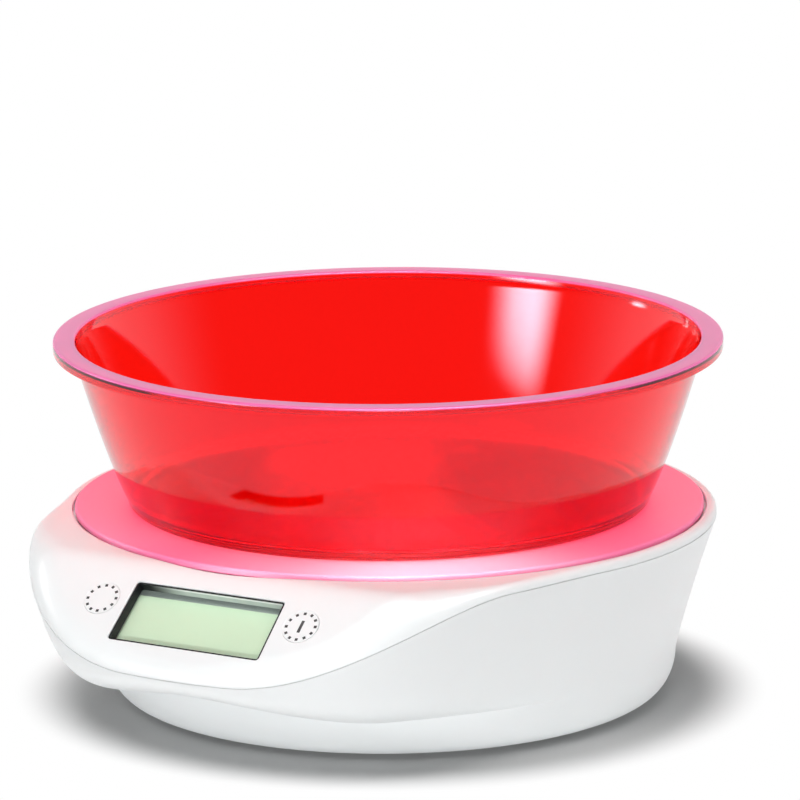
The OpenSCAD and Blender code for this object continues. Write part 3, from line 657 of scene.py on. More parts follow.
@dataclass(frozen=True)
class RecessPlasticWithPaintedLight:
    """Black satin plastic round the display, with painted light on its upper wall: a painted lit grey
    and a painted highlight line along the lip, going over to black towards the left as painted shade.
    """

    name: str
    black: Point3 = (0.01, 0.011, 0.012)
    black_drift: float = 0.15
    # Painted lit grey of the upper wall, and the painted highlight line along its lip.
    painted_lit_grey: Point3 = (0.55, 0.62, 0.58)
    pale: Point3 = (0.85, 0.88, 0.87)
    tilt: float = 39.0
    facing: Tuple[float, float] = (0.6, 0.85)
    panel_level: float = 102.819
    depth: float = 4.0
    # Depths of the painted highlight line, and how softly it fades in and out.
    lip: Tuple[float, float] = (0.5, 1.3)
    lip_fade: Point3 = (0.03, 0.04, 0.05)
    # Across the panel the painted lit grey fades out towards the left, leaving black there as painted
    # shade.
    painted_light_from: float = -23.0
    painted_light_to: float = -8.0
    roughness: Tuple[float, float] = (0.35, 0.5)
    gloss: float = 0.2
    cloud_scale: float = 18.0
    grain: float = 900.0
    octaves: float = 4.0
    relief: float = 0.02
    relief_height: float = 0.00005

    def painted_wall_light(self, n: Nodes, level: Socket) -> Socket:
        """Painted light on the upper wall: black at the edge, then a painted highlight line, then
        painted lit grey.

        Args:
            n: Node tree of the material.
            level: Socket with the height square to the panel, in metres.

        Returns:
            The colour socket.
        """
        depth = n.share(level, self.panel_level * MM, (self.panel_level - self.depth) * MM, soft=False)
        start, end = self.lip[0] / self.depth, self.lip[1] / self.depth
        before, inside, after = self.lip_fade
        return n.ramp(depth, [(start - before, self.black), (start + inside, self.pale),
                              (end - inside, self.pale), (end + after, self.painted_lit_grey)])

    def build(self) -> Finish:
        """Build the material.

        Returns:
            The material.
        """
        n = Nodes(self.name)
        shader = n.add("ShaderNodeBsdfPrincipled")
        s, c = math.sin(math.radians(self.tilt)), math.cos(math.radians(self.tilt))
        normal = n.add("ShaderNodeTexCoord").outputs["Normal"]
        # Only the downward-facing upper wall gets the painted light, and less of it towards the left.
        upper = n.share(n.dot(normal, (0.0, -c, -s)), *self.facing, soft=False)
        along = n.share(n.along(Axis.X), self.painted_light_from * MM, self.painted_light_to * MM)
        broad = n.noise(self.cloud_scale, self.octaves)
        black = n.clouds(broad, [v * (1 - self.black_drift) for v in self.black], self.black)
        wall = self.painted_wall_light(n, n.dot(n.where(), (0.0, -s, c)))
        n.link(n.tint(n.calc(Sum.MULTIPLY, upper, along), black, wall), shader.inputs["Base Color"])
        fine = n.noise(self.grain, self.octaves)
        n.link(n.spread(fine, *self.roughness), shader.inputs["Roughness"])
        n.link(n.bump(fine, self.relief, self.relief_height), shader.inputs["Normal"])
        shader.inputs["Specular IOR Level"].default_value = self.gloss
        return n.finish(shader)


@dataclass(frozen=True)
class PearlDisc:
    """Pearly pink coating in fine turned rings, whose highlight fans out from the middle."""

    name: str
    colour: Point3
    pale: Point3
    pale_at: float = 0.75
    cloud_scale: float = 9.0
    ring_scale: float = 2600.0
    ring_octaves: float = 4.0
    ring_relief: float = 0.05
    ring_height: float = 0.00003
    flake_ior: float = 2.0
    roughness: Tuple[float, float] = (0.51, 0.62)
    anisotropy: float = 0.8
    fan_turn: float = 0.25
    axis_y: float = 0.0125

    def rings(self, n: Nodes) -> Socket:
        """Noise that changes with the distance from the axis alone.

        Args:
            n: Node tree of the material.

        Returns:
            The noise value's socket.
        """
        flat = n.add("ShaderNodeCombineXYZ")
        n.link(n.along(Axis.X), flat.inputs["X"])
        n.link(n.calc(Sum.SUBTRACT, n.along(Axis.Y), self.axis_y), flat.inputs["Y"])
        length = n.add("ShaderNodeVectorMath", operation="LENGTH")
        n.link(flat.outputs["Vector"], length.inputs[0])
        rings = n.add("ShaderNodeTexNoise", noise_dimensions="1D")
        rings.inputs["Scale"].default_value = self.ring_scale
        rings.inputs["Detail"].default_value = self.ring_octaves
        n.link(length.outputs["Value"], rings.inputs["W"])
        return rings.outputs["Fac"]

    def build(self) -> Finish:
        """Build the material.

        Returns:
            The material.
        """
        n = Nodes(self.name)
        shader = n.add("ShaderNodeBsdfPrincipled")
        rings = self.rings(n)
        broad = n.noise(self.cloud_scale)
        n.link(n.clouds(broad, self.colour, self.pale, self.pale_at), shader.inputs["Base Color"])
        n.link(n.spread(rings, *self.roughness), shader.inputs["Roughness"])
        n.link(n.bump(rings, self.ring_relief, self.ring_height), shader.inputs["Normal"])
        tangent = n.add("ShaderNodeTangent", direction_type="RADIAL", axis="Z")
        n.link(tangent.outputs["Tangent"], shader.inputs["Tangent"])
        shader.inputs["Anisotropic"].default_value = self.anisotropy
        shader.inputs["Anisotropic Rotation"].default_value = self.fan_turn
        shader.inputs["IOR"].default_value = self.flake_ior
        shader.inputs["Specular IOR Level"].default_value = 1.0
        return n.finish(shader)


@dataclass(frozen=True)
class Metal:
    """Turned, drawn or plated metal with fine lines."""

    name: str
    colour: Point3
    roughness: Tuple[float, float] = (0.25, 0.4)
    drift: float = 0.1
    cloud_scale: float = 120.0
    cloud_octaves: float = 4.0
    line_scale: float = 260.0
    line_stretch: Point3 = (1.0, 14.0, 14.0)
    relief: float = 0.08
    relief_height: float = 0.00003

    def build(self) -> Finish:
        """Build the material.

        Returns:
            The material.
        """
        n = Nodes(self.name)
        shader = n.add("ShaderNodeBsdfPrincipled")
        broad = n.noise(self.cloud_scale, self.cloud_octaves)
        low = [c * (1 - self.drift) for c in self.colour]
        n.link(n.clouds(broad, low, self.colour), shader.inputs["Base Color"])
        fine = n.noise(self.line_scale, stretch=self.line_stretch)
        n.link(n.spread(fine, *self.roughness), shader.inputs["Roughness"])
        n.link(n.bump(fine, self.relief, self.relief_height), shader.inputs["Normal"])
        shader.inputs["Metallic"].default_value = 1.0
        return n.finish(shader)


@dataclass(frozen=True)
class TintedClear:
    """Clear tinted plastic with a frosted rim top that carries a painted sheen: a paler, less clear
    pink.
    """

    name: str
    colour: Point3
    lamp_tint: Point3
    rim_z: float
    drift: float = 0.03
    roughness: Tuple[float, float] = (0.05, 0.08)
    ior: float = 1.5
    gloss: float = 0.3
    sheen_tint: Point3 = (0.9, 0.8, 1.0)
    cloud_scale: float = 14.0
    grain: float = 300.0
    ripple: float = 0.015
    ripple_height: float = 0.0004
    rim_fade: float = 0.0004
    # Painted sheen on the rim top: its pink, and how clear the rim stays under it.
    rim_painted_sheen: Point3 = (1.0, 0.2, 0.56)
    rim_clear: float = 0.3
    rim_rough: float = 0.22

    def build(self) -> Finish:
        """Build the material, which lets lamp light through with a tint of its own.

        Returns:
            The material.
        """
        n = Nodes(self.name)
        shader = n.add("ShaderNodeBsdfPrincipled")
        broad = n.noise(self.cloud_scale)
        body = n.clouds(broad, [c * (1 - self.drift) for c in self.colour], self.colour)
        # The rim top is rougher, which is frost, and takes a paler, less clear pink, which is painted
        # sheen.
        rim = n.share(n.along(Axis.Z), self.rim_z - self.rim_fade, self.rim_z, soft=False)
        n.link(n.tint(rim, body, (*self.rim_painted_sheen, 1.0)), shader.inputs["Base Color"])
        rough = n.spread(n.noise(self.grain), *self.roughness)
        n.link(n.calc(Sum.MULTIPLY_ADD, rim, self.rim_rough, rough), shader.inputs["Roughness"])
        n.link(n.spread(rim, 1.0, self.rim_clear), shader.inputs["Transmission Weight"])
        n.link(n.bump(broad, self.ripple, self.ripple_height), shader.inputs["Normal"])
        shader.inputs["IOR"].default_value = self.ior
        shader.inputs["Specular IOR Level"].default_value = self.gloss
        shader.inputs["Specular Tint"].default_value = (*self.sheen_tint, 1.0)
        lamp_light = n.add("ShaderNodeBsdfTransparent")
        lamp_light.inputs["Color"].default_value = (*self.lamp_tint, 1.0)
        rays = n.add("ShaderNodeLightPath")
        return n.finish(n.blend(rays.outputs["Is Shadow Ray"], shader, lamp_light))


@dataclass(frozen=True)
class ThinPane:
    """Thin clear pane that lets nearly all light straight through."""

    name: str
    colour: Point3 = (0.5, 0.55, 0.55)
    drift: float = 0.1
    cover: float = 0.05
    roughness: Tuple[float, float] = (0.03, 0.07)
    cloud_scale: float = 60.0
    grain: float = 300.0

    def build(self) -> Finish:
        """Build the material.

        Returns:
            The material.
        """
        n = Nodes(self.name)
        shader = n.add("ShaderNodeBsdfPrincipled")
        low = [c * (1 - self.drift) for c in self.colour]
        n.link(n.clouds(n.noise(self.cloud_scale), low, self.colour), shader.inputs["Base Color"])
        n.link(n.spread(n.noise(self.grain), *self.roughness), shader.inputs["Roughness"])
        shader.inputs["Specular IOR Level"].default_value = 1.0
        shader.inputs["Alpha"].default_value = self.cover
        return n.finish(shader)


def finishes() -> Dict[str, Finish]:
    """Build every finish.

    Returns:
        The material of each material slot.
    """
    white = (0.86, 0.885, 0.89)
    satin = (0.32, 0.42)
    palette = [
        Plastic("white_shell", white, 0.008, satin, coat=0.08, gloss=0.35, scatter=0.04, relief=0.015),
        Plastic("key_plastic", white, 0.008, satin, coat=0.08, gloss=0.35, relief=0.015),
        Plastic("foot_rubber", (0.05, 0.05, 0.055), 0.1, (0.7, 0.9), relief=0.3),
        Plastic("cell_sleeve", (0.03, 0.034, 0.04), 0.2, (0.2, 0.3), coat=0.6),
        Plastic("lead_sheath", (0.35, 0.02, 0.015), 0.1, (0.4, 0.55)),
        Plastic("lead_screen", (0.5, 0.5, 0.5), 0.08, (0.45, 0.6)),
        Plastic("sealant", (0.8, 0.8, 0.77), 0.05, (0.5, 0.7), relief=0.2),
        Plastic("board_laminate", (0.012, 0.1, 0.03), 0.15, (0.35, 0.5)),
        Plastic("black_resin", (0.012, 0.012, 0.013), 0.2, (0.25, 0.4)),
        Plastic("socket_plastic", (0.75, 0.72, 0.62), 0.04, (0.4, 0.5)),
        # Black frame whose upper wall carries painted light and a painted highlight.
        RecessPlasticWithPaintedLight("dark_frame"),
        Plastic("strip_rubber", (0.09, 0.09, 0.1), 0.2, (0.6, 0.8)),
        Plastic("switch_body", (0.03, 0.03, 0.033), 0.1, (0.4, 0.5)),
        Plastic("key_print", (0.01, 0.01, 0.011), 0.2, (0.5, 0.65)),
        Plastic("lcd_film", (0.68, 0.88, 0.625), 0.02, (0.5, 0.6), gloss=0.1, grain=2200.0),
        Plastic("lcd_glass", (0.4, 0.48, 0.44), 0.05, (0.05, 0.1), coat=1.0),
        PearlDisc("pink_platform", (1.0, 0.09, 0.33), (1.0, 0.115, 0.37)),
        Metal("zinc_steel", (0.7, 0.71, 0.72)),
        Metal("nickel_contacts", (0.75, 0.73, 0.68)),
        Metal("load_cell_alloy", (0.8, 0.81, 0.82), (0.3, 0.45)),
        Metal("plated_plate", (0.66, 0.67, 0.69)),
        TintedClear("red_bowl", (1.0, 0.006, 0.003), lamp_tint=(0.85, 0.74, 0.77), rim_z=0.1149),
        ThinPane("clear_window"),
    ]
    return {item.name: item.build() for item in palette}


# The scale's own pieces


@dataclass
class HousingForm:
    """Sizes and curves that both shells share, in millimetres."""

    axis_y: float = 12.5
    rim_in: float = 100.8
    rim_r: float = 104.0
    rim_z: float = 60.8
    brow_reach: float = 27.0
    brow_lip_z: float = 33.8
    ridge_side_z: float = 58.5
    panel_tilt: float = 39.0
    brow_flat: float = 15.0
    brow_end: float = 70.0
    lip_flat: float = 8.0
    lip_end: float = 50.0
    lip_h: float = 0.6
    part_gap: float = 0.1
    tongue_gap: float = 0.3
    rim_chamfer: float = 0.6
    panel_soften: float = 3.0
    base_r: float = 82.6
    corner_w: float = 8.5
    corner_h: float = 12.5
    foot_h: float = 1.5
    side_flare: float = 1.15
    chin_z: float = 23.0
    chin_drop: float = 7.0
    chin_spread: float = 30.0
    chin_round: float = 2.2
    chin_round_gain: float = 0.7
    wall_t: float = 2.2
    sections: int = 360
    edge_share: float = 0.7
    edge_base: float = 3.0
    edge_gain: float = 1.2
    edge_drop: float = 2.3
    key_x: float = 35.6
    key_s: float = 16.0

    def ridge_r(self, a: float) -> float:
        """Radius of the ridge at an angle from the front."""
        share = 1 - ease((a - self.brow_flat) / (self.brow_end - self.brow_flat))
        return self.rim_r + self.brow_reach * share

    def ridge_z(self, a: float) -> float:
        """Height of the ridge at an angle from the front."""
        share = 1 - ease((a - self.lip_flat) / (self.lip_end - self.lip_flat))
        return self.ridge_side_z - (self.ridge_side_z - self.brow_lip_z) * share

    def side_r(self, z: float) -> float:
        """Radius of the plain side wall.

        Args:
            z: Height above the table.

        Returns:
            The radius there.
        """
        corner_z = self.foot_h + self.corner_h
        if z < corner_z:
            below = (corner_z - z) / self.corner_h
            return self.base_r + self.corner_w * math.sqrt(max(0.0, 1 - below ** 2))
        top = self.ridge_side_z - self.lip_h - self.part_gap
        share = ((z - corner_z) / (top - corner_z)) ** self.side_flare
        return self.base_r + self.corner_w + (self.rim_r - self.base_r - self.corner_w) * share

    def chin_point(self, a: float, q: float) -> Point2:
        """Point of the chin.

        Args:
            a: Angle from the front in degrees.
            q: Place along the chin, from 0 to 90 degrees.

        Returns:
            Radius and height.
        """
        top = self.ridge_z(a) - self.lip_h - self.part_gap
        spread = ease(a / self.chin_spread)
        start = self.chin_z - self.chin_drop * spread
        power = 2 / (self.chin_round + self.chin_round_gain * spread)
        cos_q, sin_q = max(math.cos(math.radians(q)), 0.0), max(math.sin(math.radians(q)), 0.0)
        z = start + (top - start) * (1 - cos_q ** power)
        return self.side_r(z) + (self.ridge_r(a) - self.side_r(top)) * sin_q ** power, z

    def face_z(self, a: float, r: float) -> float:
        """Height of the cover's face before its rounded edge."""
        fall = (self.rim_in - r * math.cos(math.radians(a))) * math.tan(math.radians(self.panel_tilt))
        return soft_min(self.rim_z, self.rim_z + fall, self.panel_soften)

    def edge_fall(self, a: float) -> float:
        """Height that the rounded edge comes down at an angle from the front."""
        return self.face_z(a, self.ridge_r(a)) - self.ridge_z(a)

    def edge_w(self, a: float) -> float:
        """Width of the rounded edge at an angle from the front."""
        widest = self.edge_share * (self.ridge_r(a) - self.rim_in - self.rim_chamfer)
        return min(widest, self.edge_base + self.edge_gain * (self.edge_fall(a) - self.edge_drop))

    def cover_z(self, a: float, r: float) -> float:
        """Height of the cover's face with its rounded edge.

        Args:
            a: Angle from the front in degrees.
            r: Radius.

        Returns:
            The height there.
        """
        w = self.edge_w(a)
        g = min(max((r - self.ridge_r(a) + w) / w, 0.0), 1.0)
        return self.face_z(a, r) - self.edge_fall(a) * (1 - math.sqrt(max(0.0, 1 - g * g)))

    def panel(self) -> Matrix:
        """Matrix from the panel's axes to the object's, in millimetres."""
        place = Matrix.Translation((0.0, self.axis_y - self.rim_in, self.rim_z))
        return place @ Matrix.Rotation(math.radians(self.panel_tilt), 4, "X")


@dataclass
class UpperCover:
    """White top shell: rim, brow with the display opening and key holes, and the spill well."""

    form: HousingForm
    window_top_w: float = 53.0
    window_low_w: float = 54.0
    window_s: float = 7.9
    window_h: float = 22.4
    window_corner: float = 1.2
    window_cut: float = 12.0
    case_half: float = 28.65
    case_s: Tuple[float, float] = (5.85, 32.35)
    case_d: Tuple[float, float] = (2.4, 8.4)
    key_hole_r: float = 5.9
    key_cut: float = 8.0
    well_r: float = 95.0
    well_in: float = 66.0
    well_z: float = 52.0
    well_wall: float = 1.8
    kerb_w: float = 1.6
    kerb_h: float = 2.0
    shelf_z: float = 57.3
    shelf_top: float = 58.7
    hollow_reach: float = 8.0
    rim_wall: Tuple[float, float] = (0.3, 2.0)
    rim_ease: Point2 = (0.18, 0.42)
    lip_ease: float = 0.15
    edge_soft: float = 0.18
    edge_up: float = 0.3
    edge_under: float = 0.1
    face_rows: int = 14
    edge_rows: int = 14
    under_rows: int = 6
    sharp_angle: float = 40.0

    def section(self, a: float) -> List[Point2]:
        """Section of the cover at an angle from the front.

        Args:
            a: Angle in degrees.

        Returns:
            Points of radius and height, counter-clockwise.
        """
        f = self.form
        big, w = f.ridge_r(a), f.edge_w(a)
        low = f.ridge_z(a) - f.lip_h
        r1, r2 = f.rim_in + f.rim_chamfer, big - w
        hollow = ease((big - f.rim_r) / self.hollow_reach)
        thin, thick = self.rim_wall
        ri, ro = f.rim_in + thin + (thick - thin) * hollow, big - f.wall_t - f.tongue_gap
        under = f.wall_t / math.cos(math.radians(f.panel_tilt))
        well_out = self.well_r + self.well_wall
        points = [(self.well_in, self.well_z - self.well_wall), (well_out, self.well_z - self.well_wall),
                  (well_out, self.shelf_z)]
        for k in range(self.under_rows + 1):
            r = ri + (ro - ri) * k / self.under_rows
            points.append((r, self.shelf_z * (1 - hollow) + (f.cover_z(a, r) - under) * hollow))
        points += [(ro, low), (big - self.lip_ease, low), (big, low + self.lip_ease)]
        for k in range(self.edge_rows, 0, -1):
            r = r2 + w * math.sin(math.radians(90 * k / self.edge_rows))
            points.append((r, f.cover_z(a, r)))
        for k in range(self.face_rows, -1, -1):
            r = r1 + (r2 - r1) * k / self.face_rows
            points.append((r, f.cover_z(a, r)))
        z_in = f.cover_z(a, f.rim_in) - f.rim_chamfer
        kerb_r, kerb_z = self.well_in + self.kerb_w, self.well_z + self.kerb_h
        points += [(f.rim_in + self.rim_ease[0], z_in + self.rim_ease[1]), (f.rim_in, z_in),
                   (f.rim_in, self.shelf_top), (self.well_r, self.shelf_top), (self.well_r, self.well_z),
                   (kerb_r, self.well_z), (kerb_r, kerb_z), (self.well_in, kerb_z)]
        return points

    def window(self, grown: float = 0.0) -> List[Point2]:
        """Outline of the display opening on the panel.

        Args:
            grown: How much larger than the opening the outline is on each side.

        Returns:
            The outline, counter-clockwise.
        """
        top, low = self.window_top_w / 2 + grown, self.window_low_w / 2 + grown
        s0, s1 = self.window_s - grown, self.window_s + self.window_h + grown
        corners = [(-top, -s0), (-low, -s1), (low, -s1), (top, -s0)]
        return rounded_outline(corners, self.window_corner + grown)

    def key_hole(self, x: float, grown: float = 0.0) -> List[Point2]:
        """Outline of the key hole at a place across the panel, made larger by a length."""
        return circle_outline(x, -self.form.key_s, self.key_hole_r + grown)

    def cutters(self) -> List[Piece]:
        """Build what is cut out of the cover.

        Returns:
            The openings, the eased edges round them and the room for the display's case.
        """
        place = self.form.panel()
        e, up, under = self.edge_soft, self.edge_up, self.edge_under
        tools = [prism("cut_window", self.window(), -self.window_cut, self.window_cut, place)]
        low, high = self.window(-under), self.window(e + up)
        tools.append(frustum("ease_window", low, high, -e - under, up, place))
        for x in (-self.form.key_x, self.form.key_x):
            low, high = self.key_hole(x, -under), self.key_hole(x, e + up)
            tools.append(prism("cut_key", self.key_hole(x), -self.key_cut, self.key_cut, place))
            tools.append(frustum("ease_key", low, high, -e - under, up, place))
        w, (s0, s1), (d0, d1) = self.case_half, self.case_s, self.case_d
        tools.append(prism("cut_case", [(-w, -s1), (w, -s1), (w, -s0), (-w, -s0)], -d1, -d0, place))
        return tools

    def build(self, material: Finish) -> Piece:
        """Build and dress the cover.

        Args:
            material: Finish of the shell.

        Returns:
            The cover.
        """
        cover = ring_loft("top_cover", self.section, self.form.axis_y, self.form.sections)
        boolean(cover, self.cutters(), Shaping.CUT)
        smooth_by_angle(cover, self.sharp_angle)
        cover.data.materials.append(material)
        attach(cover, Body.HOUSING.value)
        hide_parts("upper_cover")
        return cover


@dataclass
class LowerHousing:
    """White bottom shell: side wall with the chin, and the underside with its wells and battery bay."""

    form: HousingForm
    ring_r: float = 78.0
    floor_t: float = 2.2
    bite: float = 1.0
    corner_rows: int = 14
    chin_rows: int = 30
    inner_chin_rows: int = 4
    inner_corner_rows: int = 3
    post_ring_r: float = 72.0
    post_a: float = 20.0
    post_r: float = 4.2
    post_top: float = 37.9
    post_seat: float = 26.0
    post_well_r: float = 3.4
    post_bore_r: float = 1.8
    foot_ring_r: float = 66.0
    foot_angles: Tuple[float, ...] = (45.0, 135.0, 225.0, 315.0)
    foot_r: float = 6.2
    foot_depth: float = 0.8
    screw_xs: Tuple[float, float] = (-33.0, -23.0)
    screw_well_r: float = 4.1
    screw_bore_r: float = 2.3
    screw_seat: float = 4.0
    pedestal_x: Tuple[float, float] = (-38.0, -18.0)
    pedestal_y: float = 8.4
    pedestal_z: float = 22.0
    bay_w: float = 50.0
    bay_y0: float = 22.2
    bay_y1: float = 46.4
    bay_top: float = 15.2
    bay_wall: float = 1.6
    notch_r: float = 8.0
    notch_w: float = 14.0
    notch_y: float = 2.2
    notch_low: float = 6.6

    def section(self, a: float) -> List[Point2]:
        """Section of the side wall at an angle from the front.

        Args:
            a: Angle in degrees.

        Returns:
            Points of radius and height, counter-clockwise.
        """
        f = self.form
        corner_z = f.foot_h + f.corner_h
        points: List[Point2] = [(self.ring_r, f.foot_h)]
        for k in range(self.corner_rows + 1):
            q = math.radians(90 * k / self.corner_rows)
            points.append((f.base_r + f.corner_w * math.sin(q), corner_z - f.corner_h * math.cos(q)))
        points += [f.chin_point(a, 90 * k / self.chin_rows) for k in range(self.chin_rows + 1)]
        for k in range(self.inner_chin_rows, -1, -1):
            q = 90 * k / self.inner_chin_rows
            r, z = f.chin_point(a, q)
            points.append((r - f.wall_t, z + self.floor_t * math.cos(math.radians(q))))
        for k in range(self.inner_corner_rows, 0, -1):
            q = math.radians(90 * k / self.inner_corner_rows)
            points.append((f.base_r + (f.corner_w - f.wall_t) * math.sin(q),
                           corner_z - (f.corner_h - self.floor_t) * math.cos(q)))
        points.append((self.ring_r, f.foot_h + self.floor_t))
        return points

    def tube(self, name: str, x: float, y: float, r: float, z0: float, z1: float, n: int = 48) -> Piece:
        """Upright cylinder at a place counted from the housing's axis."""
        place = Matrix.Translation((0, self.form.axis_y, 0))
        return prism(name, circle_outline(x, y, r, n), z0, z1, place)

    def block(self, name: str, low: Point3, high: Point3) -> Piece:
        """Box between two corners counted from the housing's axis."""
        outline = [(low[0], low[1]), (high[0], low[1]), (high[0], high[1]), (low[0], high[1])]
        return prism(name, outline, low[2], high[2], Matrix.Translation((0, self.form.axis_y, 0)))

    def posts(self) -> List[Point2]:
        """Places of the four screw posts, counted from the axis.

        Returns:
            Their places across and along.
        """
        angles = [math.radians(a) for a in
                  (self.post_a, 180 - self.post_a, 180 + self.post_a, 360 - self.post_a)]
        return [(self.post_ring_r * math.sin(a), -self.post_ring_r * math.cos(a)) for a in angles]

    def raised(self) -> List[Piece]:
        """Build what stands on the floor inside.

        Returns:
            The posts, the load cell's pedestal and the outside of the battery bay.
        """
        z = self.form.foot_h + self.bite
        wide = self.bay_w / 2 + self.bay_wall
        px, py = self.pedestal_x, self.pedestal_y
        adds = [self.tube("post", x, y, self.post_r, z, self.post_top) for x, y in self.posts()]
        adds.append(self.block("pedestal", (px[0], -py, z), (px[1], py, self.pedestal_z)))
        adds.append(self.block("bay", (-wide, self.bay_y0 - self.bay_wall, z),
                               (wide, self.bay_y1 + self.bay_wall, self.bay_top + self.bay_wall)))
        return adds

    def cutters(self) -> List[Piece]:
        """Build what is cut into the underside.

        Returns:
            The screw wells and bores, the feet's recesses, the battery bay and its finger notch.
        """
        floor_z = self.form.foot_h
        bore_top, cell_bore_top = self.post_top + self.bite, self.pedestal_z + self.bite
        cuts = [self.tube("well", x, y, self.post_well_r, 0, self.post_seat) for x, y in self.posts()]
        cuts += [self.tube("bore", x, y, self.post_bore_r, 0, bore_top) for x, y in self.posts()]
        for a in (math.radians(angle) for angle in self.foot_angles):
            x, y = self.foot_ring_r * math.cos(a), self.foot_ring_r * math.sin(a)
            cuts.append(self.tube("recess", x, y, self.foot_r, 0, floor_z + self.foot_depth))
        for x in self.screw_xs:
            seat_z = self.pedestal_z - self.screw_seat
            cuts.append(self.tube("cell_well", x, 0, self.screw_well_r, 0, seat_z))
            cuts.append(self.tube("cell_bore", x, 0, self.screw_bore_r, 0, cell_bore_top))
        half = self.bay_w / 2
        cuts.append(self.block("bay_inside", (-half, self.bay_y0, 0), (half, self.bay_y1, self.bay_top)))
        notch_y = self.form.axis_y + self.bay_y1 + self.notch_y
        start = Matrix.Translation((-self.notch_w / 2, notch_y, floor_z - self.notch_low))
        turn = start @ Matrix.Rotation(math.radians(90), 4, "Y")
        cuts.append(prism("notch", circle_outline(0, 0, self.notch_r), 0, self.notch_w, turn))
        return cuts

    def underside(self, material: Finish) -> Piece:
        """Build the underside with its wells, recesses and battery bay.

        Args:
            material: Finish of the shell.

        Returns:
            The underside.
        """
        z0, sharp = self.form.foot_h, 30
        base = self.tube("underside", 0, 0, self.ring_r, z0, z0 + self.floor_t, self.form.sections)
        boolean(base, self.raised(), Shaping.JOIN)
        boolean(base, self.cutters(), Shaping.CUT)
        smooth_by_angle(base, sharp)
        base.data.materials.append(material)
        return base

    def build(self, material: Finish) -> List[Piece]:
        """Build and dress the lower shell.

        Args:
            material: Finish of the shell.

        Returns:
            The side wall and the underside.
        """
        sharp = 45
        wall = ring_loft("side_wall", self.section, self.form.axis_y, self.form.sections)
        smooth_by_angle(wall, sharp)
        wall.data.materials.append(material)
        pieces = [wall, self.underside(material)]
        for piece in pieces:
            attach(piece, Body.HOUSING.value)
            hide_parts("lower_housing")
        return pieces


@dataclass
class DisplayPane:
    """Clear pane over the display, a hair thinner than its seat so that the film below stays free."""

    form: HousingForm
    width: float = 55.1
    top_s: float = 6.95
    low_s: float = 31.25
    depth: float = 3.42
    thickness: float = 0.7
    corner: float = 0.8
    edge: float = 0.08
    edge_angle: float = 60.0

    def build(self, material: Finish) -> Piece:
        """Build and dress the pane.

        Args:
            material: Clear finish.

        Returns:
            The pane.
        """
        w, top, low = self.width / 2, -self.depth, -self.depth - self.thickness
        corners = [(-w, -self.top_s), (-w, -self.low_s), (w, -self.low_s), (w, -self.top_s)]
        pane = prism("display_pane", rounded_outline(corners, self.corner), low, top, self.form.panel())
        soften = pane.modifiers.new("ground edge", "BEVEL")
        soften.width = self.edge * MM
        soften.segments = 2
        soften.limit_method = "ANGLE"
        soften.angle_limit = math.radians(self.edge_angle)
        apply_modifiers(pane)
        pane.data.materials.append(material)
        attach(pane, Body.HOUSING.value)
        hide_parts("display_window")
        return pane


@dataclass
class KeyPrint:
    """Ring of small printed squares on each key, with a short bar on the right one."""

    form: HousingForm
    ring_r: float = 4.85
    count: int = 12
    first: float = 0.25
    square: float = 0.95
    bar: Tuple[float, float] = (1.0, 4.5)
    height: float = 0.03
    sunk: float = 0.05

    def spots(self, with_bar: bool) -> List[Tuple[float, float, float, float, float]]:
        """Lay out the printed marks of a key.

        Args:
            with_bar: Whether the bar is printed too.

        Returns:
            Place across and along, turn, width and length of each mark.
        """
        out = []
        for k in range(self.count):
            a = 2 * math.pi * (k + self.first) / self.count
            x, y = self.ring_r * math.cos(a), self.ring_r * math.sin(a)
            out.append((x, y, a, self.square, self.square))
        if with_bar:
            out.append((0.0, 0.0, 0.0, *self.bar))
        return out

    def marks(self, name: str, x: float, with_bar: bool) -> Piece:
        """Build the print of one key.

        Args:
            name: Name of the piece.
            x: Place of the key across the panel.
            with_bar: Whether the bar is printed too.

        Returns:
            The printed marks.
        """
        points: List[Vector] = []
        faces: List[List[int]] = []
        place = self.form.panel() @ Matrix.Translation((x, -self.form.key_s, 0))
        for u, v, a, w, h in self.spots(with_bar):
            first = len(points)
            turn = Matrix.Rotation(a, 4, "Z")
            for z in (-self.sunk, self.height):
                for sx, sy in ((-1, -1), (1, -1), (1, 1), (-1, 1)):
                    corner = turn @ Vector((sx * w / 2, sy * h / 2, z))
                    points.append(place @ (corner + Vector((u, v, 0))))
            faces += [[first + i for i in side] for side in BOX_SIDES]
        return mesh_from(name, points, faces)

    def build(self, ink: Finish) -> List[Piece]:
        """Build and dress the prints of both keys.

        Args:
            ink: Finish of the print.

        Returns:
            The two prints.
        """
        pieces = []
        for name, x, with_bar, body in (("unit_print", -self.form.key_x, False, Body.UNIT_KEY),
                                        ("tare_print", self.form.key_x, True, Body.TARE_KEY)):
            piece = self.marks(name, x, with_bar)
            piece.data.materials.append(ink)
            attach(piece, body.value)
            pieces.append(piece)
        return pieces


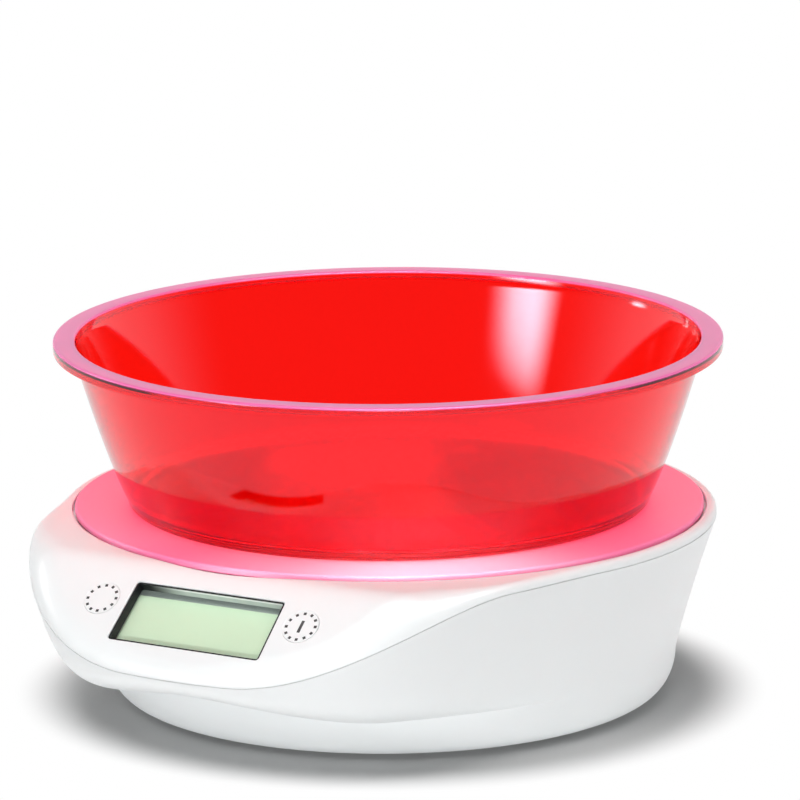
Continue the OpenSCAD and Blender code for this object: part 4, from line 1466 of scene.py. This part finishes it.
@dataclass
class MixingBowl:
    """Clear bowl with a flat floor, a curved side and a flat rim that turns down."""

    axis_y: float = 12.5
    seat_z: float = 62.0
    rim_r: float = 106.0
    rim_w: float = 7.0
    rim_round: float = 0.9
    rim_under: Tuple[Point2, ...] = ((4.8, 2.4), (2.0, 2.4), (1.75, 2.6), (1.6, 3.5), (0.3, 3.5),
                                     (0.08, 3.4), (0.0, 3.1))
    neck_in: float = 6.0
    neck_drop: float = 3.0
    height: float = 53.5
    base_r: float = 81.6
    wall: float = 2.0
    floor_t: float = 2.6
    curve: float = 0.8
    corner: float = 2.6
    fillet: float = 4.0
    lean: float = 15.0
    segments: int = 320
    rows: int = 40
    round_rows: int = 8
    fillet_rows: int = 10
    sharp_angle: float = 50.0

    def side(self, z: float) -> float:
        """Outer radius at a height above the underside."""
        rise = max(z / (self.height - self.neck_drop), 0.0) ** self.curve
        return self.base_r + (self.rim_r - self.neck_in - self.base_r) * rise

    def profile(self) -> List[Point2]:
        """Work out the bowl's profile.

        Returns:
            Closed profile of radius and height above the table.
        """
        h, t, b = self.height, self.wall, self.rim_round
        neck, inside = h - self.neck_drop, self.floor_t + self.fillet
        foot_in = self.side(self.corner) - self.corner
        floor_r = self.side(inside) - t - self.fillet
        points: List[Point2] = [(0.0, 0.0)]
        points += arc_points(foot_in, self.corner, self.corner, -90, -self.lean, self.round_rows)
        for k in range(self.rows + 1):
            z = self.corner + (neck - self.corner) * k / self.rows
            points.append((self.side(z), z))
        points += [(self.rim_r - in_r, h - drop) for in_r, drop in self.rim_under]
        points += arc_points(self.rim_r - b, h - b, b, 0, 90, self.round_rows)
        points += arc_points(self.rim_r - self.rim_w + b, h - b, b, 90, 180, self.round_rows)
        for k in range(self.rows, -1, -1):
            z = inside + (neck - inside) * k / self.rows
            points.append((self.side(z) - t, z))
        points += arc_points(floor_r, inside, self.fillet, -self.lean, -90, self.fillet_rows)
        points.append((0.0, self.floor_t))
        return [(r, z + self.seat_z) for r, z in points]

    def build(self, material: Finish) -> Piece:
        """Build and dress the bowl.

        Args:
            material: Finish of the bowl.

        Returns:
            The bowl.
        """
        bowl = turned("mixing_bowl", self.profile(), self.axis_y, self.segments)
        smooth_by_angle(bowl, self.sharp_angle)
        bowl.data.materials.append(material)
        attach(bowl, Body.BOWL.value)
        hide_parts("bowl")
        return bowl


@dataclass
class CarriedNodes:
    """CAD nodes that keep their own shape and get a better finish."""

    palette: Dict[str, Finish]

    def dress(self) -> int:
        """Give each CAD node the finish of its slot.

        Returns:
            The number of nodes dressed.
        """
        slots = {part["node"]: part["material_slot"] for part in frame["record"]["subparts"]}
        for name, obj in frame["nodes"].items():
            material = self.palette[slots[name]]
            if not obj.material_slots:
                obj.data.materials.append(material)
            for item in obj.material_slots:
                item.material = material
        return len(frame["nodes"])


# Studio


@dataclass(frozen=True)
class Spot:
    """Where a lamp or a card stands round the object, how large it is and how bright."""

    name: str
    azimuth: float
    elevation: float
    distance: float
    size: Point2
    power: float
    glints: bool = True

    def place(self) -> Point3:
        """Place in metres from the direction, where azimuth 0 is straight in front.

        Returns:
            The place.
        """
        a, e = math.radians(self.azimuth), math.radians(self.elevation)
        out = self.distance * math.cos(e)
        return (out * math.sin(a), -out * math.cos(a), self.distance * math.sin(e))


LAMPS = (
    Spot("lamp_top_front", 36.0, 67.0, 1.4, (0.7, 0.3), 7.0),
    Spot("lamp_top_left", -15.0, 67.0, 1.4, (0.4, 0.3), 3.8),
    Spot("lamp_low_front", 31.0, 5.0, 1.8, (0.6, 0.14), 7.8),
    Spot("lamp_low_left", -20.0, 5.0, 1.8, (0.5, 0.14), 7.6),
    Spot("lamp_low_right", 92.0, 5.0, 1.8, (0.5, 0.14), 4.6),
    Spot("lamp_back_right", 160.0, 6.0, 1.8, (0.6, 0.16), 8.0, glints=False),
    Spot("lamp_back_left", 240.0, 6.0, 1.8, (0.6, 0.16), 8.0, glints=False),
    Spot("lamp_under", 0.0, -90.0, 1.2, (0.8, 0.8), 1.5, glints=False),
)

WINDOWS = (
    Spot("window_left", -27.0, 20.5, 1.4, (0.8, 0.36), 26.0),
    Spot("window_side", -84.0, 22.0, 1.4, (0.26, 0.4), 26.0),
    Spot("window_top", 44.0, 62.0, 1.4, (1.8, 0.5), 40.0),
    Spot("window_right", 96.0, 58.0, 1.4, (0.7, 0.5), 24.0),
)


@dataclass
class Studio:
    """White floor, soft lamps and a plain world."""

    world_strength: float = 0.13
    room_dim: float = 0.08
    backdrop_way: Point3 = (-0.44, 0.745, -0.5)
    backdrop_fade: Tuple[float, float] = (-0.45, 0.25)
    floor_half: float = 6.0
    floor_gap: float = 0.05
    floor_colour: float = 0.9
    # Grey that the camera sees near the object: painted shade that deepens its shadow.
    floor_painted_shade: float = 0.52
    axis_y: float = 0.0125
    aim: Point3 = (0.0, 0.0, 0.05)
    fade_from: float = 0.096
    fade_to: float = 0.121
    card_core: float = 0.15

    def floor(self) -> Piece:
        """Build the floor, which fades to plain white away from the object and is clear from below; near
        the object the camera sees it a darker grey than the light it throws back, as painted shade that
        deepens the object's shadow.

        Returns:
            The floor.
        """
        s, z = self.floor_half / MM, -self.floor_gap
        obj = mesh_from("studio_floor", [(-s, -s, z), (s, -s, z), (s, s, z), (-s, s, z)], [[0, 1, 2, 3]])
        n = Nodes("studio_floor")
        rays = n.add("ShaderNodeLightPath").outputs
        length = n.add("ShaderNodeVectorMath", operation="DISTANCE")
        length.inputs[1].default_value = (0.0, self.axis_y, 0.0)
        n.link(n.where(), length.inputs[0])
        reach = n.share(length.outputs["Value"], self.fade_from, self.fade_to)
        seen = n.calc(Sum.MAXIMUM, rays["Is Camera Ray"], rays["Is Glossy Ray"])
        seen = n.calc(Sum.MAXIMUM, seen, rays["Is Transmission Ray"])
        white = n.calc(Sum.MULTIPLY, n.calc(Sum.MULTIPLY, n.unbounced(), reach), seen)
        diffuse = n.add("ShaderNodeBsdfDiffuse")
        lit, painted_shade_grey = [(v, v, v, 1.0) for v in (self.floor_colour, self.floor_painted_shade)]
        # Camera rays see the darker grey near the object, as painted shade.
        n.link(n.tint(rays["Is Camera Ray"], lit, painted_shade_grey), diffuse.inputs["Color"])
        plain = n.add("ShaderNodeEmission")
        plain.inputs["Strength"].default_value = 1.0
        upper = n.blend(white, diffuse, plain)
        side = n.add("ShaderNodeNewGeometry")
        clear = n.calc(Sum.MAXIMUM, side.outputs["Backfacing"], rays["Is Shadow Ray"])
        through = n.blend(clear, upper, n.add("ShaderNodeBsdfTransparent"))
        obj.data.materials.append(n.finish(through))
        return obj

    def world(self) -> None:
        """Light the scene evenly, with a plain white background."""
        world = bpy.data.worlds.new("studio_world")
        bpy.context.scene.world = world
        n = Nodes("studio_world", world)
        rays = n.add("ShaderNodeLightPath").outputs
        light, shown, mirrored = [n.add("ShaderNodeBackground") for _ in range(3)]
        for node in (light, shown, mirrored):
            node.inputs["Color"].default_value = WHITE
        light.inputs["Strength"].default_value = self.world_strength
        along = n.dot(n.add("ShaderNodeTexCoord").outputs["Generated"], self.backdrop_way)
        n.link(n.share(along, *self.backdrop_fade, low=self.room_dim), mirrored.inputs["Strength"])
        direct = n.unbounced()
        either = n.calc(Sum.MAXIMUM, rays["Is Camera Ray"], rays["Is Transmission Ray"])
        glossy = n.blend(n.calc(Sum.MULTIPLY, rays["Is Glossy Ray"], direct), light, mirrored)
        n.finish(n.blend(n.calc(Sum.MULTIPLY, either, direct), glossy, shown), "ShaderNodeOutputWorld")

    def aimed(self, obj: Piece, spot: Spot) -> Piece:
        """Put a lamp or a card in its place and turn it to the object.

        Args:
            obj: Lamp or card, which faces down its own Z axis.
            spot: Where it stands.

        Returns:
            The same object.
        """
        obj.location = spot.place()
        obj.rotation_euler = (Vector(self.aim) - obj.location).to_track_quat("-Z", "Y").to_euler()
        return obj

    def lamp(self, spot: Spot) -> Piece:
        """Add a soft rectangular lamp.

        Args:
            spot: Place, size in metres and power in watts.

        Returns:
            The lamp.
        """
        data = bpy.data.lights.new(spot.name, "AREA")
        data.shape = "RECTANGLE"
        data.size, data.size_y = spot.size
        data.energy = spot.power
        obj = bpy.data.objects.new(spot.name, data)
        obj.visible_camera = obj.visible_transmission = False
        obj.visible_glossy = spot.glints
        bpy.context.scene.collection.objects.link(obj)
        return self.aimed(obj, spot)

    def window(self, spot: Spot) -> Piece:
        """Add a bright card with soft edges that shows in reflections alone.

        Args:
            spot: Place, size in metres and brightness of the card's middle.

        Returns:
            The card.
        """
        w, h = spot.size[0] / 2, spot.size[1] / 2
        x, y = w / MM, h / MM
        card = mesh_from(spot.name, [(-x, -y, 0), (x, -y, 0), (x, y, 0), (-x, y, 0)], [[0, 1, 2, 3]])
        n = Nodes(spot.name)
        shares = [n.share(n.calc(Sum.ABSOLUTE, n.along(axis)), half, half * self.card_core)
                  for axis, half in ((Axis.X, w), (Axis.Y, h))]
        light = n.add("ShaderNodeEmission")
        light.inputs["Strength"].default_value = spot.power
        clear = n.add("ShaderNodeBsdfTransparent")
        card.data.materials.append(n.finish(n.blend(n.calc(Sum.MULTIPLY, *shares), clear, light)))
        for kind in ("camera", "diffuse", "transmission", "shadow"):
            setattr(card, "visible_" + kind, False)
        return self.aimed(card, spot)

    def build(self) -> None:
        """Build the whole studio."""
        self.floor()
        self.world()
        for spot in LAMPS:
            self.lamp(spot)
        for spot in WINDOWS:
            self.window(spot)


@dataclass
class PhotoCamera:
    """Camera at the photograph's viewing angle."""

    azimuth: float = 30.6
    elevation: float = 15.473
    roll: float = -0.507
    distance: float = 1.9862
    axis_y: float = 0.0125
    focal_px: float = 6190.0
    view_px: float = 6200.0
    frame_px: float = 800.0
    centre_px: Point2 = (-8.9, 286.5)
    sensor: float = 36.0
    near: float = 0.05

    def build(self) -> Piece:
        """Build the camera and make it the scene's.

        Returns:
            The camera.
        """
        a, e = math.radians(self.azimuth), math.radians(self.elevation)
        back = Vector((math.sin(a) * math.cos(e), -math.cos(a) * math.cos(e), math.sin(e)))
        right = Vector((math.cos(a), math.sin(a), 0.0))
        up = back.cross(right)
        r = math.radians(self.roll)
        right, up = right * math.cos(r) + up * math.sin(r), -right * math.sin(r) + up * math.cos(r)
        x, y = (v / self.view_px for v in self.centre_px)
        aim = (-back - right * x + up * y).normalized()
        across = aim.cross(up).normalized()
        upright = across.cross(aim)
        data = bpy.data.cameras.new("photo_camera")
        data.sensor_width = self.sensor
        data.lens = self.focal_px * self.sensor / self.frame_px
        data.clip_start = self.near
        camera = bpy.data.objects.new("photo_camera", data)
        bpy.context.scene.collection.objects.link(camera)
        place = Matrix.Translation(Vector((0, self.axis_y, 0)) + back * self.distance)
        camera.matrix_world = place @ Matrix((across, upright, -aim)).transposed().to_4x4()
        bpy.context.scene.camera = camera
        return camera


def main() -> None:
    """Build every piece in order and report it."""
    logging.basicConfig(level=logging.INFO, format="%(message)s")
    bpy.context.scene.view_settings.view_transform = "Standard"
    PhotoCamera().build()
    palette = finishes()
    LOG.info("dressed %d carried nodes", CarriedNodes(palette).dress())
    form = HousingForm()
    shell = palette["white_shell"]
    pieces = [UpperCover(form).build(shell), *LowerHousing(form).build(shell)]
    pieces.append(DisplayPane(form).build(palette["clear_window"]))
    pieces += KeyPrint(form).build(palette["key_print"])
    pieces.append(MixingBowl().build(palette["red_bowl"]))
    for piece in pieces:
        LOG.info("built %s with %d faces", piece.name, len(piece.data.polygons))
    Studio().build()


if __name__ == "__main__":
    main()
